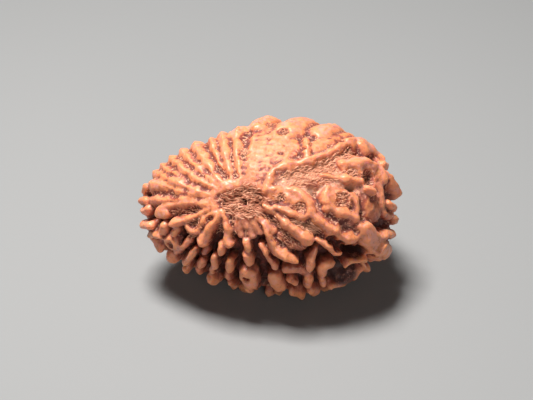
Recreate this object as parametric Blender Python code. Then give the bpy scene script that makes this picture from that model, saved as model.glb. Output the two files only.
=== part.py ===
"""A rudraksha seed: the woody stone of a fruit, all one piece.

The stone is egg-shaped. A fibrous pore opens at each end of its short axis, and ridges run from pore to
pore with deep furrows between them. Near the pore they are thin radiating crests, and down the flanks they
break up into clubs, blades and round knobs.

Metres, +Z up. +X runs along the stone towards its broad end, the pore that shows faces -Y and up, and the
stone rests on Z = 0 on the flattened tips of three knobs."""

import math
import random

import bmesh
import bpy
import numpy as np
from mathutils import Matrix, Vector, noise

# The shell that the highest knobs touch: a tapered ellipsoid.
HALF_LENGTH = 0.0160
HALF_WIDTH = 0.0110
HALF_DEPTH = 0.0110
TAPER = 0.14

# Where the pore points, in degrees: its lean towards the narrow end, and its height above the horizon.
PORE_LEAN = 12.0
PORE_LIFT = 40.0

# The middle of the shell. It lies a little lower than the shell is deep, and the knobs underneath are low.
CENTRE = Vector((-0.00007, 0.00009, 0.0106))

# Three knobs carry the stone. Their tips are cut off level, and every other ridge keeps this far above.
FOOT_CUT = 0.00020
GROUND_GAP = 0.00030

# Depth of the furrows under the shell: shallow at the pores and on the upper side, deep on the lower flank.
FURROW_MEAN = 0.00155
FURROW_SWING = 0.00105
FURROW_DEEPEST_BEARING = 270.0
FURROW_SWING_PACE = 1.4
# Behind the upper side the furrows deepen again over this reach, to at least this depth.
FAR_FURROW = 0.00135
FAR_FURROW_REACH = (64.0, 82.0)
PORE_DEPTH = 0.0015
COLLAR_DEPTH = 0.0006
PORE_TILT = 0.0005
PORE_DEEP_BEARING = 40.0
# The reach over which a pore's wall rises, and over which the furrows deepen from the collar outwards. The
# collar ends twice its stretch farther out on the upper side than underneath.
PORE_REACH = (7.0, 11.0)
COLLAR_REACH = (13.0, 30.0)
COLLAR_STRETCH = 12.0

# Every ridge's foot goes this far under the shell, into the core. Its skirt spreads this far below the
# crown. The crown rises and falls in lumps, swells and narrows by a share of its width, and wanders.
FOOT_DEPTH = 0.0036
SKIRT_DROP = 0.0007
SWELL = 0.28
WANDER = 0.00016
STATION_STEP = 0.00045
LUMP = 0.00030
LUMP_SIZE = 0.0011
SWELL_SHIFT = Vector((31, 0, 0))
WANDER_SHIFT = Vector((0, 47, 0))
MILLIMETRE = 0.001

# How the ridges are shaped: skirt width at the start and at the tip, foot and start widths as shares of
# the full width, how far the start lies low and the tip rises in millimetres, how deep the crown is as a
# share of half the width and how round it is (2 is round, less is sharper), how much wider the tip
# swells, how far the ends reach out as a share of half the width, and how lumpy and uneven it is.
SHAPES = {
    "crest": {
        "splay": 2.20, "skirt": 2.20, "foot": 2.50, "start": 0.80, "drop": 0.15,
        "crown": 0.75, "power": 1.5, "tip": 0.00, "bulb": 0.00, "nose": 0.8, "lump": 1.0,
    },
    "club": {
        "splay": 2.60, "skirt": 1.30, "foot": 1.70, "start": 0.45, "drop": 0.20,
        "crown": 0.80, "power": 1.4, "tip": 0.35, "bulb": 0.00, "nose": 1.0, "lump": 1.0,
    },
    "finger": {
        "splay": 1.70, "skirt": 1.10, "foot": 1.25, "start": 0.40, "drop": 0.25,
        "crown": 1.00, "power": 2.0, "tip": 0.30, "bulb": 0.05, "nose": 0.9, "lump": 1.0,
    },
    "wedge": {
        "splay": 1.30, "skirt": 1.10, "foot": 1.20, "start": 0.30, "drop": 0.20,
        "crown": 0.90, "power": 1.5, "tip": 0.10, "bulb": -0.35, "nose": 1.6, "lump": 1.0,
    },
    "blade": {
        "splay": 1.20, "skirt": 1.10, "foot": 1.20, "start": 0.60, "drop": 0.15,
        "crown": 1.00, "power": 1.6, "tip": 0.15, "bulb": 0.00, "nose": 1.2, "lump": 1.0,
    },
    "knob": {
        "splay": 0.95, "skirt": 0.95, "foot": 1.00, "start": 0.95, "drop": 0.00,
        "crown": 1.10, "power": 2.2, "tip": 0.00, "bulb": 0.00, "nose": 0.8, "lump": 1.0,
    },
    "plate": {
        "splay": 1.20, "skirt": 1.20, "foot": 1.35, "start": 1.00, "drop": 0.00,
        "crown": 0.45, "power": 2.2, "tip": 0.00, "bulb": 0.00, "nose": 0.7, "lump": 0.50,
    },
    "slab": {
        "splay": 1.20, "skirt": 1.20, "foot": 1.35, "start": 1.00, "drop": 0.00,
        "crown": 0.22, "power": 2.6, "tip": 0.00, "bulb": 0.00, "nose": 0.7, "lump": 0.25,
    },
    "rest": {
        "splay": 1.00, "skirt": 1.00, "foot": 1.00, "start": 1.00, "drop": 0.00,
        "crown": 0.90, "power": 2.0, "tip": 0.00, "bulb": 0.00, "nose": 0.8, "lump": 1.0,
    },
}

# Each ridge: shape, width and rise above the shell in millimetres, and its course from the pore outwards
# as (bearing, reach) in degrees. Bearing 0 points to the broad end and 90 up the far side; reach is the
# angle from the pore. These are the ones that show on the pore's side.
FAN = [
    ("plate", 2.0, 0.30, [(102, 56), (99, 60), (96, 61)]),
    ("club", 1.6, 0.05, [(95, 17), (97, 28), (98, 38), (99, 48), (99, 60)]),
    ("club", 1.9, 0.10, [(108, 17), (107, 28), (107, 38), (107, 48), (108, 62)]),
    ("club", 1.2, 0.00, [(113, 28), (113, 40), (114, 58)]),
    ("club", 2.0, 0.10, [(126, 15), (125, 25), (123, 36), (123, 47), (123, 64)]),
    ("club", 1.5, 0.10, [(134, 17), (132, 31), (131, 46), (131, 68)]),
    ("club", 1.7, 0.10, [(144, 17), (142, 29), (140, 41), (139, 55), (139, 71)]),
    ("club", 1.2, 0.00, [(149, 30), (147, 44), (146, 58), (146, 69)]),
    ("club", 1.6, 0.20, [(160, 16), (157, 28), (154, 42), (152, 57), (152, 72)]),
    ("club", 1.9, 0.10, [(166, 15), (165, 26), (163, 36), (161, 49), (160, 60)]),
    ("knob", 1.3, 0.40, [(164, 66), (167, 75)]),
    ("knob", 1.1, 0.35, [(174, 66), (175, 78)]),
    ("crest", 1.1, 0.00, [(174, 24), (176, 37), (175, 46), (174, 57)]),
    ("crest", 1.3, 0.05, [(193, 13), (188, 16), (182, 21), (180, 28), (182, 36), (184, 45)]),
    ("plate", 1.4, -0.12, [(100, 13), (125, 13.5), (150, 14.5), (175, 15), (198, 13)]),
    ("plate", 1.8, -0.32, [(92, 14), (66, 13.5), (44, 13), (20, 12), (0, 11.5), (-22, 12)]),
    ("plate", 3.2, -0.25, [(82, 14), (80, 20), (78, 28)]),
    ("plate", 3.2, -0.25, [(60, 14), (62, 20), (64, 28)]),
    ("slab", 1.3, 0.00, [(188, 49), (189, 42)]),
    ("knob", 1.2, 0.25, [(183, 60), (183, 74)]),
    ("knob", 1.2, 0.50, [(197, 61), (195, 69), (193, 77)]),
    ("finger", 1.1, 0.05, [(187, 13), (198, 17), (204, 25), (203, 33), (203, 40)]),
    ("crest", 0.8, 0.05, [(213, 14), (211, 18), (216, 24), (222, 30), (219, 34), (212, 33)]),
    ("finger", 1.3, 0.15, [(217, 13), (226, 19), (230, 27), (233, 36)]),
    ("finger", 1.4, 0.10, [(222, 12), (239, 15), (249, 21), (254, 30)]),
    ("knob", 1.1, 0.05, [(249, 33), (250, 39)]),
    ("knob", 1.4, 0.15, [(202, 48), (205, 54)]),
    ("knob", 0.9, 0.00, [(209, 41), (212, 47)]),
    ("crest", 0.8, 0.40, [(208, 58), (204, 66), (202, 78), (206, 84), (212, 84)]),
    ("knob", 1.0, -0.25, [(224, 42), (224, 54), (223, 66)]),
    ("knob", 1.4, 0.50, [(220, 74), (222, 81)]),
    ("blade", 1.0, 0.20, [(232, 47), (232, 55), (231, 66)]),
    ("knob", 1.0, 0.45, [(230, 80), (230, 88)]),
    ("knob", 1.0, -0.50, [(239, 42), (239, 48)]),
    ("knob", 1.1, -0.20, [(239, 55), (239, 63)]),
    ("knob", 1.0, -0.15, [(237, 73), (237, 84)]),
    ("knob", 1.0, 0.05, [(246, 45), (247, 56)]),
    ("knob", 1.5, 0.45, [(245, 74), (245, 82)]),
    ("knob", 0.7, -0.30, [(246, 58), (245, 70)]),
    ("knob", 1.2, 0.10, [(257, 44), (256, 53)]),
    ("knob", 1.0, -0.35, [(254, 62), (254, 72)]),
    ("knob", 1.1, -0.10, [(253, 80), (253, 90)]),
]

LOWER_FLANK = [
    ("plate", 1.1, -0.35, [(262, 11), (263, 17), (265, 23)]),
    ("plate", 1.1, -0.40, [(275, 11), (276, 17), (278, 24)]),
    ("plate", 1.0, -0.35, [(287, 11), (288, 17), (289, 22)]),
    ("plate", 1.0, -0.25, [(300, 12), (302, 18), (303, 24)]),
    ("knob", 0.9, 0.05, [(271, 27), (271, 33)]),
    ("knob", 1.4, 0.00, [(269, 38), (269, 44)]),
    ("plate", 2.0, 0.10, [(266, 54), (266, 62), (265, 70)]),
    ("knob", 1.2, -0.10, [(262, 78), (262, 88)]),
    ("knob", 0.8, -0.10, [(282, 31), (284, 36)]),
    ("blade", 1.0, -0.30, [(283, 40), (283, 49)]),
    ("plate", 1.6, 0.00, [(280, 57), (279, 65), (278, 74)]),
    ("wedge", 1.9, 0.25, [(296, 24), (293, 31), (293, 37), (296, 42)]),
    ("plate", 1.5, -0.55, [(302, 28), (306, 35), (310, 40)]),
    ("club", 1.6, 0.15, [(-23, 12), (-30, 17), (-36, 22), (-39, 27), (-41, 34), (-42, 38)]),
    ("blade", 1.0, 0.15, [(322, 43), (321, 49), (321, 56)]),
    ("blade", 1.1, 0.10, [(313, 47), (307, 50), (302, 55)]),
    ("plate", 1.2, -0.40, [(288, 53), (293, 56), (298, 60)]),
    ("knob", 0.9, 0.00, [(287, 61), (288, 68)]),
    ("knob", 1.2, 0.15, [(297, 63), (293, 73)]),
    ("knob", 1.3, 0.15, [(312, 60), (307, 60), (304, 65)]),
    ("knob", 0.9, 0.05, [(301, 69), (299, 77)]),
    ("blade", 1.3, 0.25, [(282, 84), (284, 93)]),
    ("knob", 1.2, 0.20, [(290, 86), (291, 94)]),
    ("blade", 0.9, 0.35, [(317, 68), (320, 67), (323, 70), (326, 77)]),
    ("knob", 0.9, 0.05, [(322, 79), (317, 87), (310, 90), (304, 91), (300, 87)]),
    ("knob", 1.1, -0.10, [(310, 96), (311, 103)]),
]

BROAD_END = [
    ("crest", 1.0, 0.15, [(32, 12), (26, 17), (19, 22), (4, 27), (-9, 30), (-21, 29), (-21, 22), (-17, 15)]),
    ("crest", 0.8, -0.15, [(10, 22), (-3, 20), (-12, 19), (-20, 20)]),
    ("plate", 2.8, -0.10, [(18, 15), (6, 20), (-6, 24), (-12, 25)]),
    ("crest", 1.4, 0.25, [(-7, 30), (-16, 32), (-21, 37), (-25, 45), (-27, 53), (-25, 59), (-19, 60)]),
    ("crest", 0.9, 0.55, [(-16, 57), (-23, 64), (-28, 73), (-31, 90)]),
    ("crest", 0.8, -0.40, [(-13, 41), (-16, 47), (-18, 53)]),
    ("crest", 1.0, 0.10, [(13, 39), (7, 37), (1, 37), (-7, 40)]),
    ("crest", 1.5, 0.20, [(-7, 38), (-9, 43), (-10, 48), (-12, 54)]),
    ("crest", 0.9, -0.15, [(10, 43), (6, 50), (0, 53), (-6, 54)]),
    ("plate", 2.8, -0.15, [(5, 40), (2, 45), (1, 49)]),
    ("slab", 4.4, -0.45, [(9, 63), (3, 65), (-4, 65)]),
    ("crest", 0.8, 0.15, [(26, 39), (22, 44), (19, 49), (17, 54), (15, 59)]),
    ("plate", 1.5, -0.50, [(24, 31), (22, 37), (14, 46)]),
    ("crest", 1.7, 0.40, [(30, 54), (28, 62), (26, 70), (22, 77), (16, 79)]),
    ("knob", 1.1, 0.40, [(25, 88), (25, 97)]),
    ("knob", 1.1, 0.45, [(9, 60), (7, 64)]),
    ("plate", 1.5, -0.30, [(14, 75), (6, 74), (-1, 75)]),
    ("blade", 1.3, 0.55, [(18, 84), (13, 89), (8, 97)]),
    ("knob", 1.1, 0.20, [(1, 79), (-1, 89)]),
    ("knob", 1.2, -0.20, [(-5, 76), (-6, 86)]),
    ("slab", 2.0, 0.40, [(-18, 61), (-22, 69), (-24, 78), (-25, 87)]),
    ("slab", 1.7, 0.80, [(-25, 82), (-27, 95)]),
    ("knob", 1.1, 0.45, [(-20, 76), (-17, 84), (-16, 92)]),
    ("knob", 1.1, 0.70, [(-24, 82), (-25, 97)]),
    ("knob", 1.1, 0.00, [(-31, 83), (-31, 92)]),
]

UPPER_LOBES = [
    ("crest", 1.3, 0.22, [(38, 14), (50, 18), (56, 23), (54, 29), (49, 33)]),
    ("crest", 1.0, 0.12, [(51, 31), (47, 35), (43, 41)]),
    ("crest", 0.8, 0.15, [(46, 39), (42, 46), (42, 57), (43, 69)]),
    ("crest", 0.9, 0.18, [(59, 53), (54, 47), (46, 40)]),
    ("plate", 2.6, -0.15, [(50, 50), (50, 62), (50, 72)]),
    ("plate", 3.2, 0.25, [(58, 66), (58, 77), (58, 92)]),
    ("plate", 1.5, 0.05, [(49, 74), (49, 90)]),
    ("crest", 1.5, 0.45, [(44, 72), (43, 82), (40, 93), (33, 96), (27, 93)]),
    ("plate", 2.4, 0.45, [(40, 80), (38, 88), (36, 94)]),
    ("slab", 3.0, -0.14, [(78, 18), (80, 32), (82, 46), (85, 58)]),
    ("slab", 3.2, -0.17, [(62, 20), (64, 32), (66, 46)]),
    ("slab", 3.0, -0.12, [(70, 26), (72, 40), (73, 54)]),
    ("crest", 1.3, -0.10, [(78, 14), (86, 28), (88, 45), (91, 60), (93, 70)]),
    ("plate", 2.6, 0.50, [(90, 62), (90, 75), (89, 89)]),
    ("plate", 4.2, 0.35, [(74, 60), (73, 74), (73, 89)]),
]

# The three knobs that the stone rests on, round its weight.
RESTS = [
    ("rest", 2.0, 1.20, [(289, 132.6), (293, 132.6)]),
    ("rest", 2.0, 1.60, [(236, 138), (236, 142)]),
    ("rest", 2.0, 1.60, [(253, 112), (254, 109)]),
]

# Raised rings: (bearing, reach) of the pit in the middle, ring radius, width and rise in millimetres.
PIT_RINGS = [
    (74, 55, 1.15, 1.0, -0.05),
    (217, 56, 0.80, 0.7, 0.05),
]
RING_CORNERS = 8

# Pits sunk in the finished skin: bearing, reach, radius and depth in millimetres.
PITS = [
    (74, 55, 0.80, 0.55),
    (80, 74, 0.75, 0.30),
    (87, 66, 1.00, 0.20),
    (7, 17, 0.62, 0.38),
    (-9, 25, 0.68, 0.42),
    (2, 45, 1.05, 0.18),
    (17, 66, 1.20, 1.00),
    (34, 71, 0.75, 0.70),
    (11, 51, 0.70, 0.70),
    (54, 45, 0.40, 0.40),
    (64, 36, 0.35, 0.25),
    (265, 59, 0.55, 1.20),
    (35, 68, 0.60, 0.60),
    (310, 77, 1.45, 1.80),
    (316, 79, 1.45, 1.80),
    (321, 63, 0.60, 1.30),
    (325, 67, 0.60, 1.30),
    (327, 48, 0.80, 0.80),
    (325, 54, 0.90, 1.30),
    (326, 61, 0.95, 1.60),
    (328, 69, 0.90, 1.60),
    (327, 78, 0.80, 1.30),
]

# A pit moves only what lies this close to the shell, above or below it.
PIT_SPAN = 0.0042

# The rim of a pore: a ring of this reach in degrees, a little wider along the stone than across it.
RIM_REACH_LONG = 11.3
RIM_REACH_SHORT = 9.5
RIM_WIDTH = 1.2
RIM_RISE = -0.60
RIM_CORNERS = 18

# Stubs of fibre that lie across the floor of each pore.
STUB_COUNT = 16
STUB_SPREAD = 7.5
STUB_LENGTH = (3.0, 6.5)
STUB_WIDTH = (0.45, 0.75)
STUB_RISE = (-0.95, -0.65)

# The side that the photo hides: ribs of knobs round the far flank and a fan of crests at the far pore.
SEED = 7
RIB_PITCH = 0.0020
RIB_LAST_REACH = 148.0
RIB_SPINE = ("crest", 0.9, -0.95)
# Where the ribs begin: bearing, reach, and how far in millimetres they keep below the line of sight.
RIB_STARTS = [
    (0, 99, 0.0), (46, 97, 0.2), (60, 96, 0.5), (92, 94, 0.5), (98, 68, 0.6), (128, 69, 0.6),
    (150, 80, 0.5), (170, 86, 0.2), (200, 88, 0.0), (230, 92, 0.0), (270, 97, 0.0), (361, 99, 0.0),
]
LOW_RIB_REACH = 104.0
KNOB_LENGTH = (2.0, 10.0)
KNOB_GAP = (6.5, 9.0)
KNOB_WIDTH = (1.00, 1.50)
KNOB_RISE = (-0.30, 0.30)
FAR_FAN_CRESTS = 24
FAR_FAN_REACH = (166.0, 146.0)

# Fusing and thinning of the mesh.
VOXEL = 0.00018
SMOOTH_ROUNDS = 3
KEPT_SHARE = 0.0402
CORE_SEGMENTS = 96
CORE_RINGS = 48

SHELL_BROWN = (0.42, 0.155, 0.075, 1.0)
SHELL_ROUGHNESS = 0.5


def shell_frame():
    """Turns the stone's own axes (long, across, pore) into the row's."""
    lift = math.radians(PORE_LIFT)
    long_axis = Vector((1, 0, 0))
    pore_axis = Vector((0, -math.cos(lift), math.sin(lift)))
    across = pore_axis.cross(long_axis)
    turn = Matrix((long_axis, across, pore_axis)).transposed().to_4x4()
    return Matrix.Translation(CENTRE) @ turn


FRAME = shell_frame()


def on_shell(bearing, reach):
    """The point of the shell at a bearing and reach in degrees, and its outward normal."""
    around = math.radians(bearing)
    away = math.radians(reach)
    lean = math.radians(PORE_LEAN)
    flat = math.sin(away) * math.cos(around)
    high = math.cos(away)
    u = flat * math.cos(lean) - high * math.sin(lean)
    v = math.sin(away) * math.sin(around)
    w = flat * math.sin(lean) + high * math.cos(lean)
    girth = 1 + TAPER * u
    point = Vector((HALF_LENGTH * u, HALF_WIDTH * girth * v, HALF_DEPTH * girth * w))
    normal = Vector((
        (u - TAPER * (v * v + w * w) / girth) / HALF_LENGTH,
        v / (HALF_WIDTH * girth),
        w / (HALF_DEPTH * girth),
    ))
    return FRAME @ point, (FRAME.to_3x3() @ normal).normalized()


def eased(value, low, high):
    """0 below a range, 1 above it, and a smooth rise between."""
    share = min(max((value - low) / (high - low), 0.0), 1.0)
    return share * share * (3 - 2 * share)


def furrow_depth(bearing, reach):
    """How far the floor lies under the shell: deep in a pore, shallow round it and deep again beyond."""
    swing = math.cos(math.radians(bearing - FURROW_DEEPEST_BEARING))
    collar_end = COLLAR_REACH[1] + COLLAR_STRETCH * (1 - swing)
    swing *= math.sin(math.radians(min(FURROW_SWING_PACE * reach, 180)))
    off_pore = min(reach, 180 - reach)
    full = max(FURROW_MEAN + FURROW_SWING * swing, FAR_FURROW * eased(reach, *FAR_FURROW_REACH))
    outside = COLLAR_DEPTH + (full - COLLAR_DEPTH) * eased(off_pore, COLLAR_REACH[0], collar_end)
    tilt = PORE_TILT * math.cos(math.radians(bearing - PORE_DEEP_BEARING)) * min(off_pore / PORE_REACH[0], 1)
    return PORE_DEPTH + tilt + (outside - PORE_DEPTH - tilt) * eased(off_pore, *PORE_REACH)


def smooth_course(corners):
    """Points along a Catmull-Rom curve through (bearing, reach) corners, a station step apart."""
    ends = [corners[0], *corners, corners[-1]]
    course = []
    for before, start, end, after in zip(ends, ends[1:], ends[2:], ends[3:]):
        length = (on_shell(*start)[0] - on_shell(*end)[0]).length
        steps = max(1, round(length / STATION_STEP))
        for k in range(steps):
            t = k / steps
            course.append([
                b + 0.5 * t * ((c - a) + t * ((2 * a - 5 * b + 4 * c - d) + t * (3 * b - a - 3 * c + d)))
                for a, b, c, d in zip(before, start, end, after)
            ])
    return [*course, list(corners[-1])]


def ring_of(point, normal, side, half, top, skirt, look):
    """The cross-section of a ridge: a foot deep in the core, a skirt and a rounded crown."""
    depth = half * look["crown"]
    low = top - depth - SKIRT_DROP
    foot = max(look["foot"], skirt + 0.1)
    outline = [(-half * foot, -FOOT_DEPTH), (-half * skirt, low)]
    for share in (-1.0, -0.87, -0.5, 0.0, 0.5, 0.87, 1.0):
        outline.append((share * half, top - depth * abs(share) ** look["power"]))
    outline += [(half * skirt, low), (half * foot, -FOOT_DEPTH)]
    return [point + side * across + normal * up for across, up in outline]


def end_rings(point, normal, side, half, top, skirt, look, way):
    """The two smaller rings that round off an end of a ridge, from the middle outwards."""
    rings = []
    for reach, size in ((0.6, 0.75), (1.0, 0.35)):
        low = top - half * look["crown"] * (1 - size)
        rings.append(ring_of(point + way * reach, normal, side, half * size, low, skirt, look))
    return rings


def add_ridge(mesh, shape, width, rise, course):
    """Lofts one ridge along its course, with both ends rounded."""
    look = SHAPES[shape]
    frames = [on_shell(*station) for station in course]
    half_full = width * MILLIMETRE / 2
    total = sum((b[0] - a[0]).length for a, b in zip(frames, frames[1:]))
    rings = []
    walked = 0.0
    for index, (point, normal) in enumerate(frames):
        before = frames[max(index - 1, 0)][0]
        after = frames[min(index + 1, len(frames) - 1)][0]
        walked += (point - before).length
        along = (after - before).normalized()
        side = normal.cross(along).normalized()
        share = walked / total
        half = half_full * (look["start"] + (1 - look["start"]) * share ** 0.8)
        half *= 1 + look["bulb"] * share ** 6
        half *= 1 + SWELL * look["lump"] * noise.noise(point / LUMP_SIZE + SWELL_SHIFT)
        top = (rise + look["tip"] * share ** 3 - look["drop"] * (1 - share) ** 2) * MILLIMETRE
        top += LUMP * look["lump"] * noise.noise(point / LUMP_SIZE)
        if normal.z < 0:
            lowest = -FOOT_CUT if shape == "rest" else GROUND_GAP
            top = min(top, (point.z - lowest) / -normal.z)
        point = point + side * WANDER * noise.noise(point / LUMP_SIZE + WANDER_SHIFT)
        skirt = look["splay"] + (look["skirt"] - look["splay"]) * share
        overhang = along * half_full * look["nose"]
        if index == 0:
            rings += reversed(end_rings(point, normal, side, half, top, skirt, look, -overhang))
        rings.append(ring_of(point, normal, side, half, top, skirt, look))
        if index == len(frames) - 1:
            rings += end_rings(point, normal, side, half, top, skirt, look, overhang)
    loops = [[mesh.verts.new(place) for place in ring] for ring in rings]
    count = len(loops[0])
    for lower, upper in zip(loops, loops[1:]):
        for k in range(count):
            n = (k + 1) % count
            mesh.faces.new((lower[k], upper[k], upper[n], lower[n]))
    mesh.faces.new(loops[0])
    mesh.faces.new(reversed(loops[-1]))


def add_core(mesh):
    """The body under the ridges, whose surface is the floor of the furrows."""
    rows = []
    for row in range(1, CORE_RINGS):
        reach = 180 * row / CORE_RINGS
        ring = []
        for column in range(CORE_SEGMENTS):
            bearing = 360 * column / CORE_SEGMENTS
            point, normal = on_shell(bearing, reach)
            ring.append(mesh.verts.new(point - normal * furrow_depth(bearing, reach)))
        rows.append(ring)
    poles = []
    for reach in (0, 180):
        point, normal = on_shell(0, reach)
        poles.append(mesh.verts.new(point - normal * furrow_depth(0, reach)))
    for column in range(CORE_SEGMENTS):
        following = (column + 1) % CORE_SEGMENTS
        mesh.faces.new((poles[0], rows[0][column], rows[0][following]))
        mesh.faces.new((poles[1], rows[-1][following], rows[-1][column]))
        for upper, lower in zip(rows, rows[1:]):
            mesh.faces.new((upper[column], lower[column], lower[following], upper[following]))


def ring_round(bearing, reach, radius):
    """Corners of a closed ring of that radius in millimetres round a place on the shell."""
    here, normal = on_shell(bearing, reach)
    per_reach = (on_shell(bearing, reach + 1)[0] - here).length
    per_bearing = (on_shell(bearing + 1, reach)[0] - here).length
    corners = []
    for k in range(RING_CORNERS + 1):
        turn = math.tau * k / RING_CORNERS
        across = radius * MILLIMETRE * math.cos(turn) / per_bearing
        out = radius * MILLIMETRE * math.sin(turn) / per_reach
        corners.append((bearing + across, reach + out))
    return corners


def rim_round(pore_reach):
    """Corners of the rim round a pore, which is at reach 0 or 180."""
    corners = []
    for k in range(RIM_CORNERS + 1):
        bearing = 360 * k / RIM_CORNERS
        turn = math.radians(bearing)
        size = math.hypot(RIM_REACH_LONG * math.cos(turn), RIM_REACH_SHORT * math.sin(turn))
        corners.append((bearing, abs(pore_reach - size)))
    return corners


def rib_bearings():
    """Bearings of the hidden ribs, one rib pitch apart along the widest line of the stone."""
    bearings = []
    walked = 0.0
    for bearing in range(360):
        walked += (on_shell(bearing + 1, 90)[0] - on_shell(bearing, 90)[0]).length
        if walked >= RIB_PITCH:
            bearings.append(bearing)
            walked -= RIB_PITCH
    return bearings


def rib_start(bearing):
    """The reach at which the ribs begin at a bearing, and how low they keep there."""
    for (low, *before), (high, *after) in zip(RIB_STARTS, RIB_STARTS[1:]):
        if bearing < high:
            share = (bearing - low) / (high - low)
            return [a + (b - a) * share for a, b in zip(before, after)]


def hidden_ridges():
    """Knobs in ribs round the far flank, then crests that run in to the far pore."""
    chance = random.Random(SEED)
    ridges = []
    for bearing in rib_bearings():
        reach, low = rib_start(bearing)
        ridges.append((*RIB_SPINE, [(bearing, reach), (bearing, 120), (bearing, RIB_LAST_REACH)]))
        reach += chance.uniform(0, 6)
        while reach < RIB_LAST_REACH:
            length = chance.uniform(*KNOB_LENGTH)
            start = bearing + chance.uniform(-2.5, 2.5)
            end = bearing + chance.uniform(-2.5, 2.5)
            shape = chance.choice(("knob", "knob", "blade", "plate"))
            width = chance.uniform(*KNOB_WIDTH)
            rise = chance.uniform(*KNOB_RISE)
            if reach < LOW_RIB_REACH:
                rise -= low
            ridges.append((shape, width, rise, [(start, reach), (end, reach + length)]))
            reach += length + chance.uniform(*KNOB_GAP)
    for k in range(FAR_FAN_CRESTS):
        bearing = 360 * (k + chance.uniform(-0.2, 0.2)) / FAR_FAN_CRESTS
        bend = chance.uniform(-3, 3)
        first, last = FAR_FAN_REACH
        last += chance.uniform(-6, 6)
        middle = (first + last) / 2
        course = [(bearing, first), (bearing + bend, middle), (bearing, last)]
        ridges.append(("club", chance.uniform(1.1, 1.5), chance.uniform(-0.3, 0.0), course))
    return ridges


def pore_stubs(pore_reach):
    """Short fibres at all angles in the floor of a pore, which is at reach 0 or 180."""
    chance = random.Random(SEED + pore_reach)
    stubs = []
    for _ in range(STUB_COUNT):
        spot = chance.uniform(0, math.tau)
        away = STUB_SPREAD * math.sqrt(chance.random())
        turn = chance.uniform(0, math.tau)
        half = chance.uniform(*STUB_LENGTH) / 2
        course = []
        for step in range(-4, 5):
            across = away * math.cos(spot) + half * math.cos(turn) * step / 4
            up = away * math.sin(spot) + half * math.sin(turn) * step / 4
            course.append((math.degrees(math.atan2(up, across)), abs(pore_reach - math.hypot(across, up))))
        stubs.append(("knob", chance.uniform(*STUB_WIDTH), chance.uniform(*STUB_RISE), course))
    return stubs


def all_ridges():
    """Every ridge of the stone as (shape, width, rise, course)."""
    ridges = FAN + LOWER_FLANK + BROAD_END + UPPER_LOBES + RESTS + hidden_ridges()
    for bearing, reach, radius, width, rise in PIT_RINGS:
        ridges.append(("crest", width, rise, ring_round(bearing, reach, radius)))
    for pore_reach in (0, 180):
        ridges.append(("crest", RIM_WIDTH, RIM_RISE, rim_round(pore_reach)))
    smoothed = [(shape, width, rise, smooth_course(corners)) for shape, width, rise, corners in ridges]
    return smoothed + pore_stubs(0) + pore_stubs(180)


def apply_modifiers(stone):
    """Replaces the mesh by what its modifiers make of it."""
    bpy.context.view_layer.update()
    evaluated = stone.evaluated_get(bpy.context.evaluated_depsgraph_get())
    result = bpy.data.meshes.new_from_object(evaluated)
    stone.modifiers.clear()
    stone.data = result


def drop_sealed_pockets(stone):
    """Deletes every skin but the largest, because crossing ridges can close a pocket off."""
    mesh = bmesh.new()
    mesh.from_mesh(stone.data)
    skins = []
    for seed in mesh.faces:
        if seed.tag:
            continue
        seed.tag = True
        skin = [seed]
        for face in skin:
            for edge in face.edges:
                for other in edge.link_faces:
                    if not other.tag:
                        other.tag = True
                        skin.append(other)
        skins.append(skin)
    skins.sort(key=len)
    pockets = [face for skin in skins[:-1] for face in skin]
    bmesh.ops.delete(mesh, geom=pockets, context="FACES")
    mesh.to_mesh(stone.data)
    mesh.free()


def carve_pits(mesh):
    """Sinks the pits in the skin, each along the shell's normal there."""
    flat = np.zeros(len(mesh.vertices) * 3)
    mesh.vertices.foreach_get("co", flat)
    places = flat.reshape(-1, 3)
    for bearing, reach, radius, depth in PITS:
        point, normal = on_shell(bearing, reach)
        way = np.array(normal)
        off = places - np.array(point)
        along = off @ way
        across = np.sqrt(np.maximum((off * off).sum(1) - along * along, 0)) / (radius * MILLIMETRE)
        share = np.clip((1 - across) / 0.5, 0, 1) * (np.abs(along) < PIT_SPAN)
        share = share * share * (3 - 2 * share)
        places -= way * (share * depth * MILLIMETRE)[:, None]
    mesh.vertices.foreach_set("co", places.ravel())
    mesh.update()


def fuse(stone):
    """Makes one skin of the core and its ridges, softens where they meet and thins the mesh."""
    remesh = stone.modifiers.new("Fuse", "REMESH")
    remesh.mode = "VOXEL"
    remesh.voxel_size = VOXEL
    apply_modifiers(stone)
    drop_sealed_pockets(stone)
    carve_pits(stone.data)
    soften = stone.modifiers.new("Soften", "SMOOTH")
    soften.factor = 0.5
    soften.iterations = SMOOTH_ROUNDS
    thin = stone.modifiers.new("Thin", "DECIMATE")
    thin.ratio = KEPT_SHARE
    apply_modifiers(stone)


def flatten_base(stone):
    """Cuts the tips of the three resting knobs level at Z = 0."""
    mesh = bmesh.new()
    mesh.from_mesh(stone.data)
    everything = mesh.verts[:] + mesh.edges[:] + mesh.faces[:]
    cut = bmesh.ops.bisect_plane(
        mesh, geom=everything, dist=1e-7, plane_co=(0, 0, 0), plane_no=(0, 0, -1), clear_outer=True
    )
    rims = [part for part in cut["geom_cut"] if isinstance(part, bmesh.types.BMEdge)]
    bmesh.ops.triangle_fill(mesh, use_beauty=True, edges=rims, normal=(0, 0, -1))
    bmesh.ops.triangulate(mesh, faces=mesh.faces[:])
    bmesh.ops.recalc_face_normals(mesh, faces=mesh.faces[:])
    mesh.to_mesh(stone.data)
    mesh.free()


def shell_material():
    """The burnished brown of the stone."""
    material = bpy.data.materials.new("stone_shell")
    material.use_nodes = True
    surface = material.node_tree.nodes["Principled BSDF"]
    surface.inputs["Base Color"].default_value = SHELL_BROWN
    surface.inputs["Roughness"].default_value = SHELL_ROUGHNESS
    surface.inputs["Metallic"].default_value = 0.0
    return material


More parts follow.
